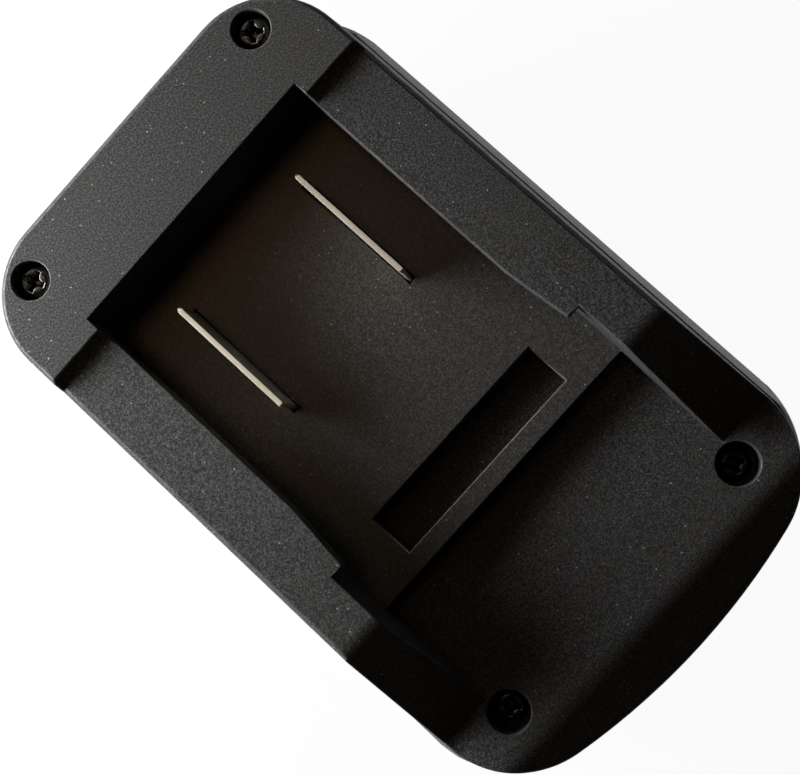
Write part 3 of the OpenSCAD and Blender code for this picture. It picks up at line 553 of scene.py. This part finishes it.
def build_plastics():
    """The mouldings' finishes."""
    # each finish's edge colour paints wear and a highlight on the rounded edges
    return {
        "cover": moulded_plastic(
            "textured_cover_plastic",
            deep=grey(0.021), lit=rgba(0.164, 0.164, 0.163), warm=rgba(0.053, 0.049, 0.043),
            grain=3.7, depth=0.024 * MM, rough=(0.66, 0.54), wear_and_highlight_colour=rgba(0.14, 0.14, 0.139), wear_and_highlight=0.5,
            # the pocket's colour is painted shade
            speck_colour=grey(0.6), specks=0.9, gloss=0.2, pocket_painted_shade=rgba(0.8, 0.8, 0.78)),
        "housing": moulded_plastic(
            "textured_housing_plastic",
            deep=grey(0.024), lit=grey(0.137), warm=rgba(0.056, 0.052, 0.048),
            grain=3.6, depth=0.022 * MM, rough=(0.48, 0.36), wear_and_highlight_colour=rgba(0.15, 0.15, 0.149), wear_and_highlight=0.5,
            speck_colour=grey(0.45), specks=0.8, gloss=0.55),
        "latch": moulded_plastic(
            "satin_latch_plastic",
            deep=rgba(0.044, 0.044, 0.045), lit=rgba(0.064, 0.064, 0.065), warm=rgba(0.05, 0.047, 0.044),
            grain=4.5, depth=0.02 * MM, rough=(0.5, 0.4), wear_and_highlight_colour=rgba(0.16, 0.16, 0.158), wear_and_highlight=0.6,
            speck_colour=grey(0.2), specks=0.4),
        "inner": moulded_plastic(
            "plain_inner_plastic",
            deep=rgba(0.06, 0.058, 0.055), lit=rgba(0.085, 0.083, 0.08), warm=rgba(0.075, 0.07, 0.06),
            grain=2.0, depth=0.015 * MM, rough=(0.5, 0.42), wear_and_highlight_colour=rgba(0.16, 0.16, 0.155), wear_and_highlight=0.3,
            speck_colour=grey(0.2), specks=0.3),
    }


def build_metals():
    """The finishes of the blades, clips, screws, springs and bare wire."""
    return {
        "blade": drawn_metal(
            "nickel_plated_blade",
            deep=rgba(0.65, 0.615, 0.5), lit=rgba(0.77, 0.735, 0.62), warm=rgba(0.65, 0.585, 0.45),
            stretch=ALONG_Y, lines=7.0, rough=(0.6, 0.48), depth=0.012 * MM),
        "black_steel": drawn_metal(
            "black_oxide_steel",
            deep=rgba(0.03, 0.03, 0.029), lit=rgba(0.17, 0.165, 0.155), warm=rgba(0.07, 0.063, 0.056),
            stretch=ALONG_SCREW, lines=4.0, rough=(0.36, 0.2), depth=0.01 * MM),
        "zinc_steel": drawn_metal(
            "zinc_plated_steel",
            deep=rgba(0.42, 0.43, 0.45), lit=rgba(0.62, 0.63, 0.64), warm=rgba(0.5, 0.47, 0.4),
            stretch=ALONG_SCREW, lines=4.0, rough=(0.42, 0.28), depth=0.01 * MM),
        "clip": drawn_metal(
            "sheet_brass_clip",
            deep=rgba(0.5, 0.36, 0.16), lit=rgba(0.72, 0.55, 0.29), warm=rgba(0.4, 0.27, 0.12),
            stretch=ALONG_Y, lines=7.0, rough=(0.4, 0.26), depth=0.012 * MM),
        "spring": drawn_metal(
            "drawn_spring_wire",
            deep=rgba(0.4, 0.4, 0.41), lit=rgba(0.62, 0.62, 0.63), warm=rgba(0.42, 0.38, 0.33),
            stretch=ALONG_COIL, lines=5.0, rough=(0.38, 0.24), depth=0.008 * MM),
        "copper": drawn_metal(
            "tinned_copper_strand",
            deep=rgba(0.52, 0.33, 0.24), lit=rgba(0.74, 0.56, 0.46), warm=rgba(0.5, 0.3, 0.2),
            stretch=ALONG_STRAND, lines=6.0, rough=(0.4, 0.28), depth=0.02 * MM),
    }


def build_wires():
    """The leads' insulation."""
    return {
        "red_wire": wire_insulation(
            "red_wire_insulation", deep=rgba(0.42, 0.02, 0.015), lit=rgba(0.56, 0.04, 0.03)),
        "black_wire": wire_insulation("black_wire_insulation", deep=grey(0.02), lit=grey(0.045)),
    }


# Rounded mouldings and stampings

LOOKS = [Vector(way).normalized() for way in itertools.product((-1, 0, 1), repeat=3) if any(way)]


def shell_walls():
    """Ray targets made from the two shells of the case."""
    depsgraph = bpy.context.evaluated_depsgraph_get()
    return [BVHTree.FromObject(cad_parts[node], depsgraph) for node in ("battery_cover", "tool_housing")]


def faces_outside(edge, walls):
    """True where some straight look from outside the case reaches the edge."""
    way = (edge.link_faces[0].normal + edge.link_faces[1].normal).normalized()
    start = (edge.verts[0].co + edge.verts[1].co) / 2 + way * LOOK_LIFT
    for look in LOOKS:
        if look.dot(way) > LOOK_RISE and all(wall.ray_cast(start, look)[0] is None for wall in walls):
            return True
    return False


def select_outer_corners(piece, degrees, walls=()):
    """Selects the sharp convex edges of a piece in edit mode, apart from those shut inside the case."""
    bpy.ops.mesh.select_all(action="DESELECT")
    bpy.ops.mesh.edges_select_sharp(sharpness=math.radians(degrees))
    mesh = bmesh.from_edit_mesh(piece.data)
    for edge in mesh.edges:
        if edge.select and not (edge.is_convex and faces_outside(edge, walls)):
            edge.select_set(False)
    mesh.select_flush_mode()
    bmesh.update_edit_mesh(piece.data)


def split_large_faces(piece):
    """Cuts the many-sided faces of a piece in edit mode into triangles, which rounding leaves whole."""
    bpy.ops.mesh.select_mode(type="FACE")
    bpy.ops.mesh.select_all(action="DESELECT")
    mesh = bmesh.from_edit_mesh(piece.data)
    for face in mesh.faces:
        face.select_set(len(face.verts) > QUAD_SIDES)
    bmesh.update_edit_mesh(piece.data)
    bpy.ops.mesh.quads_convert_to_tris(quad_method="BEAUTY", ngon_method="BEAUTY")
    bpy.ops.mesh.select_mode(type="EDGE")


def add_wear_and_highlight_slot(piece):
    """Gives a piece two empty material slots, the second for the faces that rounding its edges adds."""
    piece.data.materials.clear()
    for _ in range(WEAR_AND_HIGHLIGHT_SLOT + 1):
        piece.data.materials.append(None)


def paint_wear_and_highlight_layer(piece):
    """Marks the faces of the rounded edges for wear and a painted highlight."""
    layer = piece.data.attributes.new(WEAR_AND_HIGHLIGHT_LAYER, "FLOAT", "FACE")
    rubbed = [float(face.material_index == WEAR_AND_HIGHLIGHT_SLOT) for face in piece.data.polygons]
    layer.data.foreach_set("value", rubbed)


def merge_flat_faces(piece):
    """Joins the triangles of each flat face again, so that it shades as one, and takes out slivers."""
    open_edges(piece)
    bpy.ops.mesh.select_all(action="SELECT")
    bpy.ops.mesh.dissolve_limited(angle_limit=math.radians(FLAT_DEG))
    merge_points(SLIVER)
    bpy.ops.mesh.dissolve_degenerate(threshold=SLIVER)
    bpy.ops.object.mode_set(mode="OBJECT")


def rounded_copy(node, name, radius, steps, walls=()):
    """Copies a CAD node's mesh, merges it into whole faces and rounds its outer edges."""
    piece = add_to_scene(name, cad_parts[node].data.copy())
    add_wear_and_highlight_slot(piece)
    open_edges(piece)
    merge_points(CAD_MERGE)
    bpy.ops.mesh.dissolve_limited(angle_limit=math.radians(WHOLE_FACE_DEG))
    split_large_faces(piece)
    select_outer_corners(piece, SHARP_DEG, walls)
    bpy.ops.mesh.bevel(offset=radius, segments=steps, profile=ROUND, affect="EDGES", clamp_overlap=False,
                       loop_slide=False, material=WEAR_AND_HIGHLIGHT_SLOT)
    bpy.ops.object.mode_set(mode="OBJECT")
    paint_wear_and_highlight_layer(piece)
    merge_flat_faces(piece)
    smooth_round_flats(piece)
    return piece


def add_rounded(node, name, radius, steps, material, body, walls=()):
    """A rounded copy of a CAD node, painted and tied in the node's place."""
    piece = rounded_copy(node, name, radius, steps, walls)
    paint(piece, material)
    dress(piece, body, node)


def add_mouldings(finish):
    """The two shells of the case, and the latch."""
    walls = shell_walls()
    add_rounded("battery_cover", "cover_moulding", COVER_EDGE, MOULDING_STEPS, finish["cover"],
                HOUSE, walls)
    add_rounded("tool_housing", "housing_moulding", HOUSING_EDGE, MOULDING_STEPS, finish["housing"],
                HOUSE, walls)
    add_rounded("latch_slider", "latch_moulding", LATCH_EDGE, MOULDING_STEPS, finish["latch"],
                LATCH)


def add_blades(finish):
    """The two contact blades in the pocket."""
    for pole in POLES:
        add_rounded(f"blade_{pole}", f"stamped_blade_{pole}", BLADE_EDGE, BLADE_STEPS, finish["blade"],
                    HOUSE)


def finish_inner_nodes(finish):
    """Better finishes on the CAD nodes that stay as they are."""
    paint(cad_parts["blade_retainer"], finish["inner"])
    paint(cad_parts["contact_block"], finish["inner"])
    for pole in POLES:
        paint(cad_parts[f"contact_clip_{pole}"], finish["clip"])


# Camera, light and floor

def add_camera():
    """Camera at the photograph's viewing angle."""
    data = bpy.data.cameras.new("studio_camera")
    data.lens = LENS_MM
    data.sensor_width = SENSOR_MM
    data.sensor_fit = "HORIZONTAL"
    data.clip_start = CLIP_START
    camera = add_to_scene("studio_camera", data)
    turn = Matrix((CAMERA_RIGHT, CAMERA_UP, CAMERA_BACK)).transposed().to_4x4()
    camera.matrix_world = Matrix.Translation(CAMERA_AT) @ turn
    bpy.context.scene.camera = camera


def add_soft_box(name, at, size, power, colour):
    """Flat lamp turned towards the part."""
    data = bpy.data.lights.new(name, "AREA")
    data.shape = "RECTANGLE"
    data.size, data.size_y = size
    data.energy = power
    data.color = colour
    lamp = add_to_scene(name, data)
    lamp.location = at
    lamp.rotation_euler = (at - LAMPS_AIM).to_track_quat("Z", "Y").to_euler()
    lamp.visible_camera = False


def seen_white(tree, mirror):
    """One for a straight or see-through look, and for a mirrored one as far as a mask lets it."""
    path = tree.nodes.new("ShaderNodeLightPath")
    mirrored = maths(tree, "MULTIPLY", path.outputs["Is Glossy Ray"], mirror)
    straight = maths(tree, "MAXIMUM", path.outputs["Is Camera Ray"], path.outputs["Is Transmission Ray"])
    return maths(tree, "MAXIMUM", straight, mirrored)


def add_surround():
    """White paper round the stage, with a dark flag in front and overhead for what gloss mirrors there."""
    world = bpy.data.worlds.new("white_surround")
    world.use_nodes = True
    tree = world.node_tree
    light = next(node for node in tree.nodes if node.type == "BACKGROUND")
    light.inputs["Color"].default_value = WHITE
    way = tree.nodes.new("ShaderNodeTexCoord").outputs["Generated"]
    behind = spread(tree, split_axes(tree, way)["Y"], MIRROR_FROM, MIRROR_FULL)
    strength = spread(tree, seen_white(tree, behind), 0.0, 1.0, SURROUND, 1.0)
    tree.links.new(strength, light.inputs["Strength"])
    bpy.context.scene.world = world


def paper_material():
    """White paper with a dark flag in front for what gloss mirrors there, clear from below."""
    material, tree, shader, place = new_material("white_paper")
    shader.inputs["Base Color"].default_value = grey(PAPER_TONE)
    shader.inputs["Roughness"].default_value = PAPER_ROUGH
    glow = tree.nodes.new("ShaderNodeEmission")
    glow.inputs["Color"].default_value = WHITE
    front_flag = spread(tree, split_axes(tree, place)["Y"], FLAG_FAR, FLAG_NEAR)
    reach = tree.nodes.new("ShaderNodeVectorMath")
    reach.operation = "LENGTH"
    tree.links.new(place, reach.inputs[0])
    evenness = spread(tree, reach.outputs["Value"], PAPER_NEAR, PAPER_FAR, PAPER_GLOW, 1.0)
    glow_part = maths(tree, "MULTIPLY", seen_white(tree, front_flag), evenness)
    paper = mix_shaders(tree, glow_part, shader.outputs["BSDF"], glow.outputs["Emission"])
    from_below = tree.nodes.new("ShaderNodeNewGeometry").outputs["Backfacing"]
    clear = tree.nodes.new("ShaderNodeBsdfTransparent").outputs["BSDF"]
    sheet = next(node for node in tree.nodes if node.type == "OUTPUT_MATERIAL")
    tree.links.new(mix_shaders(tree, from_below, paper, clear), sheet.inputs["Surface"])
    return material


def add_floor():
    """Pale paper under the adapter."""
    bpy.ops.object.select_all(action="DESELECT")
    bpy.ops.mesh.primitive_plane_add(size=PAPER_SIZE, location=(0, 0, -PAPER_DROP))
    floor = bpy.context.active_object
    floor.name = "paper_floor"
    paint(floor, paper_material())


def add_studio():
    """Camera, lamps, surround and floor."""
    add_camera()
    add_soft_box("rear_soft_box", KEY_AT, KEY_SIZE, KEY_POWER, KEY_COLOUR)
    add_soft_box("top_soft_box", TOP_AT, TOP_SIZE, TOP_POWER, TOP_COLOUR)
    add_surround()
    add_floor()


# Screws

# the two sizes of screw, and the turn in radians from one screw of a pair to the next
ScrewSize = namedtuple("ScrewSize", "head_r head_h shank_r")
CASE_SCREW = ScrewSize(head_r=2.7 * MM, head_h=1.9 * MM, shank_r=1.5 * MM)
SMALL_SCREW = ScrewSize(head_r=2.3 * MM, head_h=1.6 * MM, shank_r=1.25 * MM)
TURN_STEP = 0.5
SCREW_SMOOTH_DEG = 40

# head: shares of its height and radius
HEAD_STEPS = 48
HEAD_TOP = 0.9
ROLL_SIZE = 0.62
ROLL_STEPS = 7
LIP_SIZE = 0.05
LIP_STEPS = 2
LIP_SHARP_DEG = 40

# cross recess: shares of the head's radius and height, and scallops as shares of the wings' reach
RECESS_TIP = 0.68
RECESS_DEPTH = 0.9
RECESS_TAPER = 0.25
RECESS_LIFT = 0.2 * MM
SCALLOP_AT = 1.1
SCALLOP_R = 0.56
SCALLOP_STEPS = 8

# shank: shares of its radius, and lengths in pitches
THREAD_ROOT = 0.72
THREAD_PITCH = 0.8
RIDGE_HALF = 0.25
FIRST_RIDGE = 1.5
LAST_RIDGE = 2.5
POINT_L = 1.6
POINT_R = 0.9
SHANK_STEPS = 24
SHANK_MERGE = 0.001 * MM


def pan_head(radius, height):
    """Pan head: a disc whose upper rim is rolled off."""
    bpy.ops.object.select_all(action="DESELECT")
    bpy.ops.mesh.primitive_cylinder_add(vertices=HEAD_STEPS, radius=radius, depth=height,
                                        location=(0, 0, height / 2), rotation=(0, 0, math.pi / HEAD_STEPS))
    head = bpy.context.active_object
    settle(head)
    open_edges(head)
    bpy.ops.mesh.select_all(action="DESELECT")
    mesh = bmesh.from_edit_mesh(head.data)
    for edge in mesh.edges:
        edge.select_set(all(point.co.z > height * HEAD_TOP for point in edge.verts))
    bmesh.update_edit_mesh(head.data)
    bpy.ops.mesh.bevel(offset=height * ROLL_SIZE, segments=ROLL_STEPS, profile=ROUND, affect="EDGES")
    bpy.ops.object.mode_set(mode="OBJECT")
    return head


def recess_outline(tip_r):
    """Outline of a cross recess: four blunt wings with a scallop between each pair."""
    scallop_at = SCALLOP_AT * tip_r
    scallop_r = SCALLOP_R * tip_r
    meet = math.acos((tip_r ** 2 + scallop_at ** 2 - scallop_r ** 2) / (2 * tip_r * scallop_at))
    reach = math.acos((scallop_at - tip_r * math.cos(meet)) / scallop_r)
    points = []
    for quarter in range(4):
        wing = quarter * math.pi / 2
        points.append(Vector((tip_r * math.cos(wing), tip_r * math.sin(wing), 0)))
        middle = wing + math.pi / 4
        centre = Vector((math.cos(middle), math.sin(middle), 0)) * scallop_at
        for i in range(SCALLOP_STEPS + 1):
            turn = middle + math.pi + reach * (1 - 2 * i / SCALLOP_STEPS)
            points.append(centre + Vector((math.cos(turn), math.sin(turn), 0)) * scallop_r)
    return points


def cross_recess(tip_r, depth, top):
    """Cutter for the cross recess, narrower at its bottom."""
    outline = recess_outline(tip_r)
    lift = Vector((0, 0, top + RECESS_LIFT))
    mesh = bpy.data.meshes.new("recess")
    mesh.from_pydata([point + lift for point in outline], [], [list(range(len(outline)))])
    cutter = add_to_scene("recess", mesh)
    open_edges(cutter)
    bpy.ops.mesh.select_all(action="SELECT")
    bpy.ops.mesh.extrude_region_move(TRANSFORM_OT_translate={"value": (0, 0, -depth - RECESS_LIFT)})
    bpy.ops.transform.resize(value=(RECESS_TAPER, RECESS_TAPER, 1.0))
    turn_outwards()
    return cutter


def carve(piece, cutter):
    """Cuts a cutter out of a piece and takes the cutter away."""
    only(piece)
    cut = piece.modifiers.new("recess", "BOOLEAN")
    cut.operation = "DIFFERENCE"
    cut.solver = "EXACT"
    cut.object = cutter
    bpy.ops.object.modifier_apply(modifier=cut.name)
    bpy.data.objects.remove(cutter)


def threaded_shank(radius, length):
    """Self-tapping shank: a ridged profile spun round its axis down to a point."""
    root = radius * THREAD_ROOT
    pitch = radius * THREAD_PITCH
    points = [(root, 0.0), (root, -pitch)]
    level = -FIRST_RIDGE * pitch
    while level > -length + LAST_RIDGE * pitch:
        points += [(root, level + RIDGE_HALF * pitch), (radius, level), (root, level - RIDGE_HALF * pitch)]
        level -= pitch
    points += [(root * POINT_R, -length + POINT_L * pitch), (0.0, -length)]
    mesh = bpy.data.meshes.new("shank")
    mesh.from_pydata([(x, 0, z) for x, z in points], [(i, i + 1) for i in range(len(points) - 1)], [])
    shank = add_to_scene("shank", mesh)
    open_edges(shank)
    bpy.ops.mesh.select_all(action="SELECT")
    bpy.ops.mesh.spin(steps=SHANK_STEPS, angle=2 * math.pi, center=(0, 0, 0), axis=(0, 0, 1))
    merge_points(SHANK_MERGE)
    select_open_ends()
    bpy.ops.mesh.edge_face_add()
    turn_outwards()
    return shank


def cross_head_screw(size, shank_l):
    """One finished screw, its head seated at z = 0."""
    head = pan_head(size.head_r, size.head_h)
    carve(head, cross_recess(size.head_r * RECESS_TIP, size.head_h * RECESS_DEPTH, size.head_h))
    add_wear_and_highlight_slot(head)
    open_edges(head)
    select_outer_corners(head, LIP_SHARP_DEG)
    bpy.ops.mesh.bevel(offset=size.head_r * LIP_SIZE, segments=LIP_STEPS, profile=ROUND, affect="EDGES",
                       material=WEAR_AND_HIGHLIGHT_SLOT)
    bpy.ops.object.mode_set(mode="OBJECT")
    paint_wear_and_highlight_layer(head)
    return join([head, threaded_shank(size.shank_r, shank_l)], "screw")


def screw_set(name, model, places, turn, flip):
    """Copies of one screw at their places, each with its own mesh, joined as one piece."""
    copies = []
    for index, place in enumerate(places):
        copy = add_to_scene(f"{name}_{index}", model.data.copy())
        copy.rotation_euler = (math.pi if flip else 0.0, 0.0, turn + TURN_STEP * index)
        copy.location = place
        settle(copy)
        copies.append(copy)
    piece = join(copies, name)
    smooth_round_flats(piece, SCREW_SMOOTH_DEG)
    return piece


def screw_places(node, seat):
    """Seats of a screw node's two screws, from its box: they lie at the ends of its longer side."""
    low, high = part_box(node)
    along_x = (high.x - low.x) > (high.y - low.y)
    half = (high.y - low.y if along_x else high.x - low.x) / 2
    middle = (low + high) / 2
    if along_x:
        return [Vector((x, middle.y, seat)) for x in (low.x + half, high.x - half)]
    return [Vector((middle.x, y, seat)) for y in (low.y + half, high.y - half)]


def add_screws(name, node, size, material, turn, flip=False):
    """A pair of finished screws in the place of a screw node, head down where flipped."""
    low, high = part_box(node)
    seat = low.z + size.head_h if flip else high.z - size.head_h
    length = high.z - seat if flip else seat - low.z
    model = cross_head_screw(size, length)
    piece = screw_set(name, model, screw_places(node, seat), turn, flip)
    bpy.data.objects.remove(model)
    paint(piece, material)
    dress(piece, HOUSE, node)


def add_all_screws(finish):
    """The four pairs of screws, each pair turned in its own way."""
    black, zinc = finish["black_steel"], finish["zinc_steel"]
    add_screws("rear_cross_screws", "rear_case_screws", CASE_SCREW, black, turn=0.35)
    add_screws("front_cross_screws", "front_case_screws", CASE_SCREW, black, turn=0.6)
    add_screws("retainer_cross_screws", "retainer_screws", SMALL_SCREW, zinc, turn=0.2,
               flip=True)
    add_screws("block_cross_screws", "contact_block_screws", SMALL_SCREW, zinc, turn=0.9)


# Latch springs

# wire, coils and the closed ends
SPRING_WIRE_R = 0.35 * MM
WIRE_SIDES = 10
STEPS_PER_TURN = 28
DEAD_TURNS = 0.8
DEAD_PITCH = 2.15 * SPRING_WIRE_R
LIVE_TURNS = 6.4
COIL_MERGE = 0.02 * MM
SPRING_SMOOTH_DEG = 50


def coil_section(mean_r, start_z, turns, pitch, start_angle):
    """Round wire swept along part of a helix with the Screw modifier."""
    bpy.ops.object.select_all(action="DESELECT")
    bpy.ops.mesh.primitive_circle_add(vertices=WIRE_SIDES, radius=SPRING_WIRE_R,
                                      rotation=(math.pi / 2, 0, 0), location=(mean_r, 0, 0))
    coil = bpy.context.active_object
    settle(coil)
    sweep = coil.modifiers.new("wind", "SCREW")
    sweep.axis = "Z"
    sweep.angle = 2 * math.pi * turns
    sweep.screw_offset = pitch * turns
    sweep.steps = int(STEPS_PER_TURN * turns)
    sweep.render_steps = sweep.steps
    sweep.use_merge_vertices = False
    bpy.ops.object.modifier_apply(modifier=sweep.name)
    coil.rotation_euler = (0, 0, start_angle)
    coil.location = (0, 0, start_z)
    settle(coil)
    return coil


def wind_coils(mean_r, bottom, top):
    """The closed lower coil, the live coils and the closed upper coil of a spring."""
    dead_l = DEAD_TURNS * DEAD_PITCH
    live_pitch = (top - bottom - 2 * DEAD_TURNS * DEAD_PITCH) / LIVE_TURNS
    sections = [(bottom, DEAD_TURNS, DEAD_PITCH), (bottom + dead_l, LIVE_TURNS, live_pitch),
                (top - dead_l, DEAD_TURNS, DEAD_PITCH)]
    coils, angle = [], 0.0
    for start, turns, pitch in sections:
        coils.append(coil_section(mean_r, start, turns, pitch, angle))
        angle += 2 * math.pi * turns
    return coils


def latch_spring(name, node):
    """Coil spring with a closed dead coil at each end."""
    low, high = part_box(node)
    mean_r = (high.x - low.x) / 2 - SPRING_WIRE_R
    piece = join(wind_coils(mean_r, low.z + SPRING_WIRE_R, high.z - SPRING_WIRE_R), name)
    open_edges(piece)
    merge_points(COIL_MERGE)
    select_open_ends()
    bpy.ops.mesh.fill_holes(sides=0)
    turn_outwards()
    piece.location = ((low.x + high.x) / 2, (low.y + high.y) / 2, 0)
    settle(piece)
    smooth(piece, SPRING_SMOOTH_DEG)
    return piece


def add_springs(finish):
    """Both latch springs, each with a mesh of its own."""
    for side in ("left", "right"):
        node = f"latch_spring_{side}"
        piece = latch_spring(f"wound_spring_{side}", node)
        paint(piece, finish["spring"])
        dress(piece, HOUSE, node)
        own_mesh(piece)


# Leads

# insulation, bare core, route and the share of a bare end that is tucked into the insulation
LEAD_R = 1.3 * MM
LEAD_CORE_R = 0.8 * MM
LEAD_STRIP = 3.2 * MM
LEAD_BEND_R = 4.0 * MM
LEAD_SLANT = math.radians(60)
BEND_STEPS = 10
SLEEVE_STEPS = 6
CORE_STEPS = 5
CORE_TUCK = 0.2
LEAD_SMOOTH_DEG = 40


def lead_route(start, end):
    """Points down from a blade's tail, across and down again to a clip's tail."""
    across = Vector((end.x - start.x, end.y - start.y, 0))
    side, way = across.length, across.normalized()
    drop = start.z - end.z
    bend_side = LEAD_BEND_R * (1 - math.cos(LEAD_SLANT))
    bend_drop = LEAD_BEND_R * math.sin(LEAD_SLANT)
    slant = (side - 2 * bend_side) / math.sin(LEAD_SLANT)
    straight = (drop - 2 * bend_drop - slant * math.cos(LEAD_SLANT)) / 2
    angles = [LEAD_SLANT * i / BEND_STEPS for i in range(BEND_STEPS + 1)]
    bend = [(LEAD_BEND_R * (1 - math.cos(angle)), LEAD_BEND_R * math.sin(angle)) for angle in angles]
    flat = [(0.0, 0.0)]
    flat += [(aside, straight + down) for aside, down in bend]
    flat += [(side - aside, drop - straight - down) for aside, down in reversed(bend)]
    flat.append((side, drop))
    return [start + way * aside + Vector((0, 0, -down)) for aside, down in flat]


def tube(name, points, radius, steps):
    """Round tube along a line of points, as a mesh with closed ends."""
    curve = bpy.data.curves.new(name, "CURVE")
    curve.dimensions = "3D"
    curve.bevel_depth = radius
    curve.bevel_resolution = steps
    curve.use_fill_caps = True
    line = curve.splines.new("POLY")
    line.points.add(len(points) - 1)
    for point, place in zip(line.points, points):
        point.co = (*place, 1.0)
    piece = add_to_scene(name, curve)
    only(piece)
    bpy.ops.object.convert(target="MESH")
    return bpy.context.active_object


def add_lead(name, node, sleeve, copper):
    """Insulated lead with a bare tinned end on each metal tail, on the CAD lead's own route."""
    low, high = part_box(node)
    left, right = low.x + LEAD_R, high.x - LEAD_R
    start_x, end_x = (right, left) if high.x > 0 else (left, right)
    start = Vector((start_x, low.y + LEAD_R, high.z - LEAD_STRIP))
    end = Vector((end_x, high.y - LEAD_R, low.z + LEAD_STRIP))
    strip = Vector((0, 0, LEAD_STRIP))
    cover = tube(f"{name}_sleeve", lead_route(start, end), LEAD_R, SLEEVE_STEPS)
    upper = tube(f"{name}_upper", [start - strip * CORE_TUCK, start + strip], LEAD_CORE_R, CORE_STEPS)
    lower = tube(f"{name}_lower", [end + strip * CORE_TUCK, end - strip], LEAD_CORE_R, CORE_STEPS)
    paint(cover, sleeve)
    paint(upper, copper)
    paint(lower, copper)
    piece = join([cover, upper, lower], name)
    smooth(piece, LEAD_SMOOTH_DEG)
    dress(piece, HOUSE, node)


def add_leads(finish):
    """The two leads, from the blades to the contact clips."""
    add_lead("red_lead", "lead_positive", finish["red_wire"], finish["copper"])
    add_lead("black_lead", "lead_negative", finish["black_wire"], finish["copper"])


# The adapter


def build():
    """The studio and the whole dressed adapter."""
    bpy.context.scene.view_settings.view_transform = "Standard"
    add_studio()
    finish = {**build_plastics(), **build_metals(), **build_wires()}
    add_mouldings(finish)
    add_blades(finish)
    finish_inner_nodes(finish)
    add_all_screws(finish)
    add_springs(finish)
    add_leads(finish)


build()
